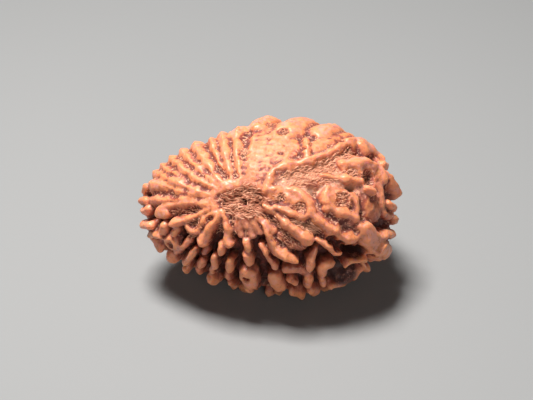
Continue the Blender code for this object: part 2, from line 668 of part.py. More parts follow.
def build_stone():
    """The whole stone as one object."""
    mesh = bmesh.new()
    add_core(mesh)
    for ridge in all_ridges():
        add_ridge(mesh, *ridge)
    bmesh.ops.recalc_face_normals(mesh, faces=mesh.faces[:])
    data = bpy.data.meshes.new("stone")
    mesh.to_mesh(data)
    mesh.free()
    stone = bpy.data.objects.new("stone", data)
    bpy.context.scene.collection.objects.link(stone)
    fuse(stone)
    flatten_base(stone)
    stone.data.materials.clear()
    stone.data.materials.append(shell_material())
    stone.data.shade_smooth()
    return stone


def main():
    for leftover in list(bpy.data.objects):
        bpy.data.objects.remove(leftover)
    build_stone()


if __name__ == "__main__":
    main()
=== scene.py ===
"""The looks of a rudraksha stone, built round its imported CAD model.

The stone is one woody piece. Its skin is carved again here from the same ridges, knobs and pits as the CAD
solid, much finer, then weathered and coloured. Fibres lie in its pores and furrows."""

import math
import random

import bmesh
import bpy
import numpy as np
from bpy.props import FloatProperty, FloatVectorProperty, PointerProperty
from mathutils import Matrix, Vector, noise
from mathutils.bvhtree import BVHTree


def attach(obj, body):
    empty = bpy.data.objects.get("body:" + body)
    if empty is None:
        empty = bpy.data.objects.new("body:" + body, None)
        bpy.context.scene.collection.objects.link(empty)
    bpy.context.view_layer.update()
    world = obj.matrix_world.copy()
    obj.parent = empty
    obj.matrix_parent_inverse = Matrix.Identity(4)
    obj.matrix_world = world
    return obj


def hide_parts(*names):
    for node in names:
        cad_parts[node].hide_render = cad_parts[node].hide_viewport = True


bl_info = {
    "name": "Rudraksha stone",
    "version": (1, 0, 0),
    "blender": (4, 5, 0),
    "location": "View3D > Sidebar > Stone",
    "description": "Carves, weathers and colours a ridged seed stone round its CAD frame",
    "category": "Object",
}

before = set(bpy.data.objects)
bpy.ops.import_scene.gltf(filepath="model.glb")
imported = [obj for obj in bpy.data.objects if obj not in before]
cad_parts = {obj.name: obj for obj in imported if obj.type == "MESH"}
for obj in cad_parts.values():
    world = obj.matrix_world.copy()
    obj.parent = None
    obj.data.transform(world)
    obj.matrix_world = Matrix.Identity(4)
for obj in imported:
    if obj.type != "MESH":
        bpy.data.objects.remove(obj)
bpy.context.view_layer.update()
MILLIMETRE = 0.001

# The shell that the highest knobs touch: a tapered ellipsoid.
HALF_LENGTH = 0.0160
HALF_WIDTH = 0.0110
HALF_DEPTH = 0.0110
TAPER = 0.14

# Where the pore points, in degrees: its lean towards the narrow end, and its height above the horizon.
PORE_LEAN = 12.0
PORE_LIFT = 40.0

# The middle of the shell. It lies a little lower than the shell is deep, and the knobs underneath are low.
CENTRE = Vector((-0.00007, 0.00009, 0.0106))

# Three knobs carry the stone. Their tips are cut off level by this much, and every other ridge keeps this far
# above. A corner this near the cut counts as on it.
FOOT_CUT = 0.00020
GROUND_GAP = 0.00030
CUT_THRESHOLD = 1e-7

# Depth of the furrows under the shell: shallow at the pores and on the upper side, deep on the lower flank.
FURROW_MEAN = 0.00155
FURROW_SWING = 0.00105
FURROW_DEEPEST_BEARING = 270.0
FURROW_SWING_PACE = 1.4
# Behind the upper side the furrows deepen again over this reach, to at least this depth.
FAR_FURROW = 0.00135
FAR_FURROW_REACH = (64.0, 82.0)
PORE_DEPTH = 0.0015
COLLAR_DEPTH = 0.0006
PORE_TILT = 0.0005
PORE_DEEP_BEARING = 40.0
# The reach over which a pore's wall rises, and over which the furrows deepen from the collar outwards. The
# collar ends twice its stretch farther out on the upper side than underneath.
PORE_REACH = (7.0, 11.0)
COLLAR_REACH = (13.0, 30.0)
COLLAR_STRETCH = 12.0

# Every ridge's foot goes this far under the shell, into the core. Its skirt spreads this far below the
# crown. The crown rises and falls in lumps, swells and narrows by a share of its width, and wanders.
FOOT_DEPTH = 0.0036
SKIRT_DROP = 0.0007
SWELL = 0.28
WANDER = 0.00016
STATION_STEP = 0.00045
LUMP = 0.00030
LUMP_SIZE = 0.0011
SWELL_SHIFT = Vector((31, 0, 0))
WANDER_SHIFT = Vector((0, 47, 0))

# Towards the tip a ridge widens, swells and rises by these powers of the share of its course.
WIDEN_POWER = 0.8
BULB_POWER = 6
TIP_POWER = 3
# Where a crown's corners lie across it, and how far out the two rings of an end lie and how large they are.
CROWN_SHARES = (-1.0, -0.87, -0.5, 0.0, 0.5, 0.87, 1.0)
END_RINGS = ((0.6, 0.75), (1.0, 0.35))

# How the ridges are shaped, field by field: skirt width at the start and at the tip, foot and start widths,
# all as shares of the full width; how far the start lies low in millimetres; how deep the crown is as a share
# of half the width, and how round (2 is round, less is sharper); how far the tip rises in millimetres, and
# how much wider it is; how far the ends reach out as a share of half the width; and how lumpy the ridge is.
SHAPE_FIELDS = ("splay", "skirt", "foot", "start", "drop", "crown", "power", "tip", "bulb", "nose", "lump")
SHAPES = {
    "crest": (2.20, 2.20, 2.50, 0.80, 0.15, 0.75, 1.5, 0.00, 0.00, 0.8, 1.00),
    "club": (2.60, 1.30, 1.70, 0.45, 0.20, 0.80, 1.4, 0.35, 0.00, 1.0, 1.00),
    "finger": (1.70, 1.10, 1.25, 0.40, 0.25, 1.00, 2.0, 0.30, 0.05, 0.9, 1.00),
    "wedge": (1.30, 1.10, 1.20, 0.30, 0.20, 0.90, 1.5, 0.10, -0.35, 1.6, 1.00),
    "blade": (1.20, 1.10, 1.20, 0.60, 0.15, 1.00, 1.6, 0.15, 0.00, 1.2, 1.00),
    "knob": (0.95, 0.95, 1.00, 0.95, 0.00, 1.10, 2.2, 0.00, 0.00, 0.8, 1.00),
    "plate": (1.20, 1.20, 1.35, 1.00, 0.00, 0.45, 2.2, 0.00, 0.00, 0.7, 0.50),
    "slab": (1.20, 1.20, 1.35, 1.00, 0.00, 0.22, 2.6, 0.00, 0.00, 0.7, 0.25),
    "rest": (1.00, 1.00, 1.00, 1.00, 0.00, 0.90, 2.0, 0.00, 0.00, 0.8, 1.00),
}

# Each ridge: shape, width and rise above the shell in millimetres, and its course from the pore outwards
# as (bearing, reach) in degrees. Bearing 0 points to the broad end and 90 up the far side; reach is the
# angle from the pore. These are the ones that show on the pore's side.
FAN = [
    ("plate", 2.0, 0.30, [(102, 56), (99, 60), (96, 61)]),
    ("club", 1.6, 0.05, [(95, 17), (97, 28), (98, 38), (99, 48), (99, 60)]),
    ("club", 1.9, 0.10, [(108, 17), (107, 28), (107, 38), (107, 48), (108, 62)]),
    ("club", 1.2, 0.00, [(113, 28), (113, 40), (114, 58)]),
    ("club", 2.0, 0.10, [(126, 15), (125, 25), (123, 36), (123, 47), (123, 64)]),
    ("club", 1.5, 0.10, [(134, 17), (132, 31), (131, 46), (131, 68)]),
    ("club", 1.7, 0.10, [(144, 17), (142, 29), (140, 41), (139, 55), (139, 71)]),
    ("club", 1.2, 0.00, [(149, 30), (147, 44), (146, 58), (146, 69)]),
    ("club", 1.6, 0.20, [(160, 16), (157, 28), (154, 42), (152, 57), (152, 72)]),
    ("club", 1.9, 0.10, [(166, 15), (165, 26), (163, 36), (161, 49), (160, 60)]),
    ("knob", 1.3, 0.40, [(164, 66), (167, 75)]),
    ("knob", 1.1, 0.35, [(174, 66), (175, 78)]),
    ("crest", 1.1, 0.00, [(174, 24), (176, 37), (175, 46), (174, 57)]),
    ("crest", 1.3, 0.05, [(193, 13), (188, 16), (182, 21), (180, 28), (182, 36), (184, 45)]),
    ("plate", 1.4, -0.12, [(100, 13), (125, 13.5), (150, 14.5), (175, 15), (198, 13)]),
    ("plate", 1.8, -0.32, [(92, 14), (66, 13.5), (44, 13), (20, 12), (0, 11.5), (-22, 12)]),
    ("plate", 3.2, -0.25, [(82, 14), (80, 20), (78, 28)]),
    ("plate", 3.2, -0.25, [(60, 14), (62, 20), (64, 28)]),
    ("slab", 1.3, 0.00, [(188, 49), (189, 42)]),
    ("knob", 1.2, 0.25, [(183, 60), (183, 74)]),
    ("knob", 1.2, 0.50, [(197, 61), (195, 69), (193, 77)]),
    ("finger", 1.1, 0.05, [(187, 13), (198, 17), (204, 25), (203, 33), (203, 40)]),
    ("crest", 0.8, 0.05, [(213, 14), (211, 18), (216, 24), (222, 30), (219, 34), (212, 33)]),
    ("finger", 1.3, 0.15, [(217, 13), (226, 19), (230, 27), (233, 36)]),
    ("finger", 1.4, 0.10, [(222, 12), (239, 15), (249, 21), (254, 30)]),
    ("knob", 1.1, 0.05, [(249, 33), (250, 39)]),
    ("knob", 1.4, 0.15, [(202, 48), (205, 54)]),
    ("knob", 0.9, 0.00, [(209, 41), (212, 47)]),
    ("crest", 0.8, 0.40, [(208, 58), (204, 66), (202, 78), (206, 84), (212, 84)]),
    ("knob", 1.0, -0.25, [(224, 42), (224, 54), (223, 66)]),
    ("knob", 1.4, 0.50, [(220, 74), (222, 81)]),
    ("blade", 1.0, 0.20, [(232, 47), (232, 55), (231, 66)]),
    ("knob", 1.0, 0.45, [(230, 80), (230, 88)]),
    ("knob", 1.0, -0.50, [(239, 42), (239, 48)]),
    ("knob", 1.1, -0.20, [(239, 55), (239, 63)]),
    ("knob", 1.0, -0.15, [(237, 73), (237, 84)]),
    ("knob", 1.0, 0.05, [(246, 45), (247, 56)]),
    ("knob", 1.5, 0.45, [(245, 74), (245, 82)]),
    ("knob", 0.7, -0.30, [(246, 58), (245, 70)]),
    ("knob", 1.2, 0.10, [(257, 44), (256, 53)]),
    ("knob", 1.0, -0.35, [(254, 62), (254, 72)]),
    ("knob", 1.1, -0.10, [(253, 80), (253, 90)]),
]

LOWER_FLANK = [
    ("plate", 1.1, -0.35, [(262, 11), (263, 17), (265, 23)]),
    ("plate", 1.1, -0.40, [(275, 11), (276, 17), (278, 24)]),
    ("plate", 1.0, -0.35, [(287, 11), (288, 17), (289, 22)]),
    ("plate", 1.0, -0.25, [(300, 12), (302, 18), (303, 24)]),
    ("knob", 0.9, 0.05, [(271, 27), (271, 33)]),
    ("knob", 1.4, 0.00, [(269, 38), (269, 44)]),
    ("plate", 2.0, 0.10, [(266, 54), (266, 62), (265, 70)]),
    ("knob", 1.2, -0.10, [(262, 78), (262, 88)]),
    ("knob", 0.8, -0.10, [(282, 31), (284, 36)]),
    ("blade", 1.0, -0.30, [(283, 40), (283, 49)]),
    ("plate", 1.6, 0.00, [(280, 57), (279, 65), (278, 74)]),
    ("wedge", 1.9, 0.25, [(296, 24), (293, 31), (293, 37), (296, 42)]),
    ("plate", 1.5, -0.55, [(302, 28), (306, 35), (310, 40)]),
    ("club", 1.6, 0.15, [(-23, 12), (-30, 17), (-36, 22), (-39, 27), (-41, 34), (-42, 38)]),
    ("blade", 1.0, 0.15, [(322, 43), (321, 49), (321, 56)]),
    ("blade", 1.1, 0.10, [(313, 47), (307, 50), (302, 55)]),
    ("plate", 1.2, -0.40, [(288, 53), (293, 56), (298, 60)]),
    ("knob", 0.9, 0.00, [(287, 61), (288, 68)]),
    ("knob", 1.2, 0.15, [(297, 63), (293, 73)]),
    ("knob", 1.3, 0.15, [(312, 60), (307, 60), (304, 65)]),
    ("knob", 0.9, 0.05, [(301, 69), (299, 77)]),
    ("blade", 1.3, 0.25, [(282, 84), (284, 93)]),
    ("knob", 1.2, 0.20, [(290, 86), (291, 94)]),
    ("blade", 0.9, 0.35, [(317, 68), (320, 67), (323, 70), (326, 77)]),
    ("knob", 0.9, 0.05, [(322, 79), (317, 87), (310, 90), (304, 91), (300, 87)]),
    ("knob", 1.1, -0.10, [(310, 96), (311, 103)]),
]

BROAD_END = [
    ("crest", 1.0, 0.15, [(32, 12), (26, 17), (19, 22), (4, 27), (-9, 30), (-21, 29), (-21, 22), (-17, 15)]),
    ("crest", 0.8, -0.15, [(10, 22), (-3, 20), (-12, 19), (-20, 20)]),
    ("plate", 2.8, -0.10, [(18, 15), (6, 20), (-6, 24), (-12, 25)]),
    ("crest", 1.4, 0.25, [(-7, 30), (-16, 32), (-21, 37), (-25, 45), (-27, 53), (-25, 59), (-19, 60)]),
    ("crest", 0.9, 0.55, [(-16, 57), (-23, 64), (-28, 73), (-31, 90)]),
    ("crest", 0.8, -0.40, [(-13, 41), (-16, 47), (-18, 53)]),
    ("crest", 1.0, 0.10, [(13, 39), (7, 37), (1, 37), (-7, 40)]),
    ("crest", 1.5, 0.20, [(-7, 38), (-9, 43), (-10, 48), (-12, 54)]),
    ("crest", 0.9, -0.15, [(10, 43), (6, 50), (0, 53), (-6, 54)]),
    ("plate", 2.8, -0.15, [(5, 40), (2, 45), (1, 49)]),
    ("slab", 4.4, -0.45, [(9, 63), (3, 65), (-4, 65)]),
    ("crest", 0.8, 0.15, [(26, 39), (22, 44), (19, 49), (17, 54), (15, 59)]),
    ("plate", 1.5, -0.50, [(24, 31), (22, 37), (14, 46)]),
    ("crest", 1.7, 0.40, [(30, 54), (28, 62), (26, 70), (22, 77), (16, 79)]),
    ("knob", 1.1, 0.40, [(25, 88), (25, 97)]),
    ("knob", 1.1, 0.45, [(9, 60), (7, 64)]),
    ("plate", 1.5, -0.30, [(14, 75), (6, 74), (-1, 75)]),
    ("blade", 1.3, 0.55, [(18, 84), (13, 89), (8, 97)]),
    ("knob", 1.1, 0.20, [(1, 79), (-1, 89)]),
    ("knob", 1.2, -0.20, [(-5, 76), (-6, 86)]),
    ("slab", 2.0, 0.40, [(-18, 61), (-22, 69), (-24, 78), (-25, 87)]),
    ("slab", 1.7, 0.80, [(-25, 82), (-27, 95)]),
    ("knob", 1.1, 0.45, [(-20, 76), (-17, 84), (-16, 92)]),
    ("knob", 1.1, 0.70, [(-24, 82), (-25, 97)]),
    ("knob", 1.1, 0.00, [(-31, 83), (-31, 92)]),
]

UPPER_LOBES = [
    ("crest", 1.3, 0.22, [(38, 14), (50, 18), (56, 23), (54, 29), (49, 33)]),
    ("crest", 1.0, 0.12, [(51, 31), (47, 35), (43, 41)]),
    ("crest", 0.8, 0.15, [(46, 39), (42, 46), (42, 57), (43, 69)]),
    ("crest", 0.9, 0.18, [(59, 53), (54, 47), (46, 40)]),
    ("plate", 2.6, -0.15, [(50, 50), (50, 62), (50, 72)]),
    ("plate", 3.2, 0.25, [(58, 66), (58, 77), (58, 92)]),
    ("plate", 1.5, 0.05, [(49, 74), (49, 90)]),
    ("crest", 1.5, 0.45, [(44, 72), (43, 82), (40, 93), (33, 96), (27, 93)]),
    ("plate", 2.4, 0.45, [(40, 80), (38, 88), (36, 94)]),
    ("slab", 3.0, -0.14, [(78, 18), (80, 32), (82, 46), (85, 58)]),
    ("slab", 3.2, -0.17, [(62, 20), (64, 32), (66, 46)]),
    ("slab", 3.0, -0.12, [(70, 26), (72, 40), (73, 54)]),
    ("crest", 1.3, -0.10, [(78, 14), (86, 28), (88, 45), (91, 60), (93, 70)]),
    ("plate", 2.6, 0.50, [(90, 62), (90, 75), (89, 89)]),
    ("plate", 4.2, 0.35, [(74, 60), (73, 74), (73, 89)]),
]

# The three knobs that the stone rests on, round its weight.
RESTS = [
    ("rest", 2.0, 1.20, [(289, 132.6), (293, 132.6)]),
    ("rest", 2.0, 1.60, [(236, 138), (236, 142)]),
    ("rest", 2.0, 1.60, [(253, 112), (254, 109)]),
]

# Raised rings: (bearing, reach) of the pit in the middle, ring radius, width and rise in millimetres.
PIT_RINGS = [
    (74, 55, 1.15, 1.0, -0.05),
    (217, 56, 0.80, 0.7, 0.05),
]
RING_CORNERS = 8

# Pits sunk in the finished skin: bearing, reach, radius and depth in millimetres.
PITS = [
    (74, 55, 0.80, 0.55),
    (80, 74, 0.75, 0.30),
    (87, 66, 1.00, 0.20),
    (7, 17, 0.62, 0.38),
    (-9, 25, 0.68, 0.42),
    (2, 45, 1.05, 0.18),
    (17, 66, 1.20, 1.00),
    (34, 71, 0.75, 0.70),
    (11, 51, 0.70, 0.70),
    (54, 45, 0.40, 0.40),
    (64, 36, 0.35, 0.25),
    (265, 59, 0.55, 1.20),
    (35, 68, 0.60, 0.60),
    (310, 77, 1.45, 1.80),
    (316, 79, 1.45, 1.80),
    (321, 63, 0.60, 1.30),
    (325, 67, 0.60, 1.30),
    (327, 48, 0.80, 0.80),
    (325, 54, 0.90, 1.30),
    (326, 61, 0.95, 1.60),
    (328, 69, 0.90, 1.60),
    (327, 78, 0.80, 1.30),
]

# A pit moves only what lies this close to the shell, above or below it. Its wall slopes over this share of
# its radius.
PIT_SPAN = 0.0042
PIT_WALL = 0.5

# The rim of a pore: a ring of this reach in degrees, a little wider along the stone than across it.
RIM_REACH_LONG = 11.3
RIM_REACH_SHORT = 9.5
RIM_WIDTH = 1.2
RIM_RISE = -0.60
RIM_CORNERS = 18

# Stubs of fibre that lie across the floor of each pore: how many, how far they lie off its middle and how
# long they are, in degrees, their widths and rises in millimetres, and the steps to each side of a middle.
STUB_COUNT = 16
STUB_SPREAD = 7.5
STUB_LENGTH = (3.0, 6.5)
STUB_WIDTH = (0.45, 0.75)
STUB_RISE = (-0.95, -0.65)
STUB_HALF_STEPS = 4

# The side that the photo hides: ribs of knobs round the far flank and a fan of crests at the far pore. A rib
# stands every so many metres round the stone and runs to its last reach, on a low spine: its shape, width and
# rise, and the reach of its middle.
SEED = 7
RIB_PITCH = 0.0020
RIB_LAST_REACH = 148.0
RIB_SPINE = ("crest", 0.9, -0.95)
RIB_SPINE_MIDDLE = 120
# Where the ribs begin: bearing, reach, and how far in millimetres they keep below the line of sight.
RIB_STARTS = [
    (0, 99, 0.0), (46, 97, 0.2), (60, 96, 0.5), (92, 94, 0.5), (98, 68, 0.6), (128, 69, 0.6),
    (150, 80, 0.5), (170, 86, 0.2), (200, 88, 0.0), (230, 92, 0.0), (270, 97, 0.0), (361, 99, 0.0),
]
# Up to this reach the knobs keep low.
LOW_RIB_REACH = 104.0
# The knobs along a rib, in degrees: how far the first strays along it and how far any strays across it, how
# long they are and how far apart. Then their shapes, and their widths and rises in millimetres.
RIB_START_STRAY = 6
KNOB_STRAY = 2.5
KNOB_LENGTH = (2.0, 10.0)
KNOB_GAP = (6.5, 9.0)
KNOB_SHAPES = ("knob", "knob", "blade", "plate")
KNOB_WIDTH = (1.00, 1.50)
KNOB_RISE = (-0.30, 0.30)
# The crests round the far pore: how many, their first and last reach, how far each strays off its place, as a
# share of the step between two, how far it bends and its end strays in degrees, and its width and rise.
FAR_FAN_CRESTS = 24
FAR_FAN_REACH = (166.0, 146.0)
FAR_FAN_STRAY = 0.2
FAR_FAN_BEND = 3
FAR_FAN_END_STRAY = 6
FAR_FAN_WIDTH = (1.1, 1.5)
FAR_FAN_RISE = (-0.3, 0.0)

# The skin is fused at this fineness, roughened, smoothed for so many rounds by this share of the way, and
# thinned to this many triangles. The core under it is a ball of so many segments and rings.
FINE_VOXEL = 0.000140
FINE_SMOOTH_ROUNDS = 1
SOFTEN_FACTOR = 0.5
SKIN_TRIANGLES = 192000
CORE_SEGMENTS = 128
CORE_RINGS = 64

# Weathering of the skin. A place counts as in a furrow from this depth on, fully after this much more. Each
# noise has a size in millimetres and a shift, or a width and a length where it is drawn out along the
# furrows. Heights are in metres: on the crowns, and how much more in the furrows.
FURROW_FROM = 0.0004
FURROW_OVER = 0.0009
LUMP_NOISE = (0.95, 0.0)
LUMP_HEIGHT = 0.00012
KNOT_NOISE = (0.50, 7.0)
KNOT_HEIGHT = (0.00007, 0.00006)
GRAIN_NOISE = (0.30, 3.0)
GRAIN_HEIGHT = (0.00004, 0.00005)
FURROW_STREAK = (0.22, 1.1)
FURROW_STREAK_HEIGHT = 0.00012
BROAD_STREAK = (0.40, 5.0)
BROAD_STREAK_HEIGHT = 0.00014
# On the upper broad side the lumps and knots are this much weaker.
BROAD_CALM = 0.8
# Millimetres round the stone to a radian of bearing, and along it to a degree of reach, for the streaks.
STREAK_GIRTH = 12.0
STREAK_PER_REACH = 0.22

# Three zones of the skin. A sector is a middle bearing, the cosine off it at which the zone begins, and how
# fast it fills. A span is the reach at which the zone begins, over how far it fills, where it ends, and over
# how far it fades there.
BROAD_SECTOR = (62, 0.75, 8)
BROAD_SPAN = (12, 10, 80, 12)
DUSTY_SECTOR = (26, 0.93, 25)
DUSTY_SPAN = (16, 6, 64, 10)
# The knobs behind the fan: their middle bearing, over how many degrees they fade, and how far past full they
# start; their span; and by how much their depth is read as less, because they all lie low.
SUNK_BEARING = 118
SUNK_FADE = 25
SUNK_FULL = 1.6
SUNK_SPAN = (64, 8, 112, 14)
SUNK_DEPTH = 0.0006

# How the skin's relief becomes values from 0 to 1. Depth counts from this far above the shell, over this
# span. Edges and what stands out are measured against the skin smoothed for so many rounds, over a span in
# metres. A pore fades out at this reach, over so many degrees.
DEPTH_ABOVE = 0.0002
DEPTH_SPAN = 0.0022
EDGE_ROUNDS = 5
EDGE_SPAN = 0.00012
STAND_ROUNDS = 40
STAND_SPAN = 0.0009
PORE_END = 26
PORE_FADE = 18

# Fibres: rings of corners along each, corners round it, how much thinner its ends are, how far it bends in
# degrees, how far above the shell the rays that find the skin start, and the steepest step that it follows.
STRAND_RINGS = 5
STRAND_SIDES = 4
STRAND_SLIM = 0.55
STRAND_BEND = 25
RAY_START = 0.0015
STEEPEST = 0.00028
# One degree of the shell in metres, about, by which a fibre's steps are laid out.
DEGREE = 0.0002

# Where and how the fibres lie, field by field: how many are tried; their length; their depth under the shell;
# how far they stray from their line in degrees, and whether that line runs level or away from the pore; how
# taut they span the hollows, from 0 to 1; how far they arch and lie over the skin; their radii, all in
# millimetres; how pale they are, from 0 to 1; and the patches: lowest and highest bearing, then reach.
FIBRE_FIELDS = (
    "tries", "length", "depth", "stray", "level", "taut", "arch", "lift", "radii", "tints", "patches",
)
PORE_LOOKS = [
    (1500, (0.30, 0.85), (0.3, 3.0), 38, True, 0.9, (0.0, 0.10), (0.0, 0.38), (0.032, 0.062), (0.0, 1.0),
     [(0, 360, 0, 11), (0, 360, 169, 180)]),
]
FURROW_LOOKS = [
    (1600, (0.30, 0.75), (0.30, 3.0), 24, False, 0.8, (0.0, 0.08), (0.0, 0.16), (0.035, 0.065), (0.45, 1.0),
     [(18, 45, 20, 68), (20, 45, 24, 56), (-35, -16, 14, 38), (84, 110, 14, 40)]),
    (2300, (0.25, 0.70), (0.50, 2.0), 24, False, 0.7, (0.0, 0.10), (0.02, 0.08), (0.035, 0.055), (0.0, 1.0),
     [(90, 320, 11, 40)]),
    (900, (0.25, 0.70), (0.8, 2.0), 35, False, 0.7, (0.0, 0.12), (0.02, 0.08), (0.035, 0.055), (0.0, 1.0),
     [(-12, 60, 24, 80), (0, 360, 140, 171)]),
    (900, (0.15, 0.40), (0.15, 3.0), 180, False, 0.9, (0.0, 0.06), (-0.02, 0.16), (0.035, 0.070), (0.0, 1.0),
     [(1, 13, 14, 20), (-14, -4, 22, 28), (70, 76, 54, 60), (13, 21, 61, 70), (-5, 8, 41, 49),
      (31, 38, 65, 71), (83, 91, 63, 69), (205, 222, 20, 30), (77, 83, 71, 77)]),
]

# Openings under the broad end, painted with shade inside: x, y, z and radius in millimetres. The painted
# shade is full this share of the radius inside.
SHADED_OPENINGS = [(9.0, -6.3, 5.7, 2.2), (9.9, -7.7, 9.7, 1.5)]
OPENING_EDGE = 0.3

# On a Mix node the colours have inputs and an output of their own, after those for plain values: where its
# factor and two colours go in, and where their mix comes out.
MIX_INPUTS = (0, 6, 7)
MIX_RESULT = 2

# Noises in the materials: scale per metre, detail and roughness.
PATCH_NOISE = (900.0, 4.0, 0.65)
SPECK_NOISE = (2800.0, 2.0, 0.7)
WARM_NOISE = (240.0, 2.0, 0.5)
CRUMB_NOISE = (3000.0, 1.0, 0.5)
# The mottle in its steps: the noise, the readings between which the step grows, its amount and its colour.
MOTTLE_STEPS = (
    ("Patches", 0.52, 0.68, "Light colour"),
    ("Patches", 0.46, 0.30, "Dark colour"),
    ("Specks", 0.43, 0.30, "Dark colour"),
    ("Specks", 0.57, 0.70, "Light colour"),
)

# The masks that colour the wood. Each reads one attribute of the skin, and goes smoothly from one value to
# another between two readings: attribute, the readings, the values.
MASKS = {
    # The deeper and more hollow a place, the darker its coat: partly the furrows' own dark residue, partly
    # painted shade.
    "low": ("depth", 0.46, 0.92, 0.0, 1.0),
    "sunk": ("depth", 0.12, 0.55, 0.60, 1.0),
    # Crown and rim fade out down the ridges' sides, leaving the flanks' darker colour: partly the wood's own,
    # partly painted shade.
    "shallow": ("depth", 0.12, 0.46, 1.0, 0.08),
    "hollow": ("stand", 0.54, 0.26, 0.0, 1.0),
    "proud": ("stand", 0.48, 0.84, 0.0, 1.0),
    # Orange on the shoulders of what stands out: partly the wood's own orange, partly painted glow of light
    # through thin edges.
    "fringe": ("stand", 0.50, 0.58, 0.0, 0.60),
    "off the top": ("stand", 0.62, 0.74, 1.0, 0.0),
    "in the lee": ("stand", 0.62, 0.42, 0.0, 1.0),
    "dusty": ("stand", 0.62, 0.44, 0.0, 0.55),
    # Orange on sharp edges and tips: partly the wood's own orange, partly painted glow of light through thin
    # edges.
    "sharp edge": ("edge", 0.74, 1.00, 0.0, 0.70),
    # Creases take the deepest colour as painted shade.
    "crease": ("edge", 0.38, 0.05, 0.0, 0.60),
    # The openings under the broad end take the deepest colour as painted shade.
    "dark": ("gloom", 0.0, 1.0, 0.0, 0.92),
}
# The coats of colour over the flanks' own, from the first to the last: the masks whose product lays a coat,
# and its colour. The darker coats on deep floors, hollows and creases are partly the furrows' own dark
# residue and partly painted shade.
COATS = (
    (("low",), "floor"),
    (("hollow", "sunk"), "furrow"),
    (("proud", "shallow"), "crown"),
    (("sharp edge", "shallow"), "rim"),
    (("crease", "sunk"), "floor"),
    (("fringe", "off the top", "shallow"), "rim"),
    (("dust", "dusty"), "crumb"),
    (("crumbs",), "crumb"),
    (("dark",), "floor"),
)
# How much of the rims' colour warms patches of the crowns, where the crumbs lie in their noise, how many
# more of them there are towards the pores, and how the mottle weakens on the deepest floors.
WARM_SHARE = (0.50, 0.66, 0.0, 0.30)
CRUMB_SHARE = (0.55, 0.66)
CRUMB_MORE = 0.3
CRUMB_ALL_OVER = 0.65
MOTTLE_SHARE = (0.0, 1.0, 0.35, 0.05)
# Gloss: two readings of how far a place stands out, and the roughness at each. Then what the whole wood has.
POLISH = (0.40, 0.85, 0.70, 0.35)
WOOD_FINISH = {
    "Specular IOR Level": 0.5,
    "Subsurface Weight": 0.4,
    "Subsurface Radius": (1.0, 0.25, 0.08),
    "Subsurface Scale": 0.0010,
}
# Strength and height of the fine relief on the wood and on the fibres.
WOOD_BUMP = (0.6, 0.00014)
FIBRE_BUMP = (0.4, 0.00003)
FIBRE_ROUGHNESS = 0.62
FIBRE_PATCHES = 0.15
FIBRE_SPECKS = 0.25

# The stage: the floor's size and roughness, where the two lights stand and how large they are, and the colour
# of the even light from all round.
FLOOR_SIZE = 3.0
FLOOR_ROUGHNESS = 0.85
KEY_PLACE = (-0.045, 0.01, 0.26)
FILL_PLACE = (0.04, -0.23, 0.11)
LIGHT_SIZE = 0.08
SKY_COLOUR = (1.0, 0.985, 0.96, 1)

# The camera as the photograph has it: how high it looks from, how far off it is, its lens and the width of
# its film in millimetres, the nearest that it sees, and how far to the left of the stone's middle and above
# it the aim lies.
CAMERA_LIFT = 35.0
CAMERA_REACH = 0.185
CAMERA_LENS = 100.0
CAMERA_FILM = 36.0
CAMERA_NEAREST = 0.005
AIM_LEFT = 0.00044
AIM_ABOVE = 0.00106


def shell_frame():
    """Turns the stone's own axes (long, across, pore) into the scene's."""
    lift = math.radians(PORE_LIFT)
    long_axis = Vector((1, 0, 0))
    pore_axis = Vector((0, -math.cos(lift), math.sin(lift)))
    across = pore_axis.cross(long_axis)
    turn = Matrix((long_axis, across, pore_axis)).transposed().to_4x4()
    return Matrix.Translation(CENTRE) @ turn


FRAME = shell_frame()


def on_shell(bearing, reach):
    """The point of the shell at a bearing and reach in degrees, and its outward normal."""
    around = math.radians(bearing)
    away = math.radians(reach)
    lean = math.radians(PORE_LEAN)
    flat = math.sin(away) * math.cos(around)
    high = math.cos(away)
    u = flat * math.cos(lean) - high * math.sin(lean)
    v = math.sin(away) * math.sin(around)
    w = flat * math.sin(lean) + high * math.cos(lean)
    girth = 1 + TAPER * u
    point = Vector((HALF_LENGTH * u, HALF_WIDTH * girth * v, HALF_DEPTH * girth * w))
    normal = Vector((
        (u - TAPER * (v * v + w * w) / girth) / HALF_LENGTH,
        v / (HALF_WIDTH * girth),
        w / (HALF_DEPTH * girth),
    ))
    return FRAME @ point, (FRAME.to_3x3() @ normal).normalized()


def eased(value, low, high):
    """0 below a range, 1 above it, and a smooth rise between."""
    share = min(max((value - low) / (high - low), 0.0), 1.0)
    return share * share * (3 - 2 * share)


def furrow_depth(bearing, reach):
    """How far the floor lies under the shell: deep in a pore, shallow round it and deep again beyond."""
    swing = math.cos(math.radians(bearing - FURROW_DEEPEST_BEARING))
    collar_end = COLLAR_REACH[1] + COLLAR_STRETCH * (1 - swing)
    swing *= math.sin(math.radians(min(FURROW_SWING_PACE * reach, 180)))
    off_pore = min(reach, 180 - reach)
    full = max(FURROW_MEAN + FURROW_SWING * swing, FAR_FURROW * eased(reach, *FAR_FURROW_REACH))
    outside = COLLAR_DEPTH + (full - COLLAR_DEPTH) * eased(off_pore, COLLAR_REACH[0], collar_end)
    tilt = PORE_TILT * math.cos(math.radians(bearing - PORE_DEEP_BEARING)) * min(off_pore / PORE_REACH[0], 1)
    return PORE_DEPTH + tilt + (outside - PORE_DEPTH - tilt) * eased(off_pore, *PORE_REACH)


def smooth_course(corners):
    """Points along a Catmull-Rom curve through (bearing, reach) corners, a station step apart."""
    ends = [corners[0], *corners, corners[-1]]
    course = []
    for before, start, end, after in zip(ends, ends[1:], ends[2:], ends[3:]):
        length = (on_shell(*start)[0] - on_shell(*end)[0]).length
        steps = max(1, round(length / STATION_STEP))
        for k in range(steps):
            t = k / steps
            course.append([
                b + 0.5 * t * ((c - a) + t * ((2 * a - 5 * b + 4 * c - d) + t * (3 * b - a - 3 * c + d)))
                for a, b, c, d in zip(before, start, end, after)
            ])
    return [*course, list(corners[-1])]


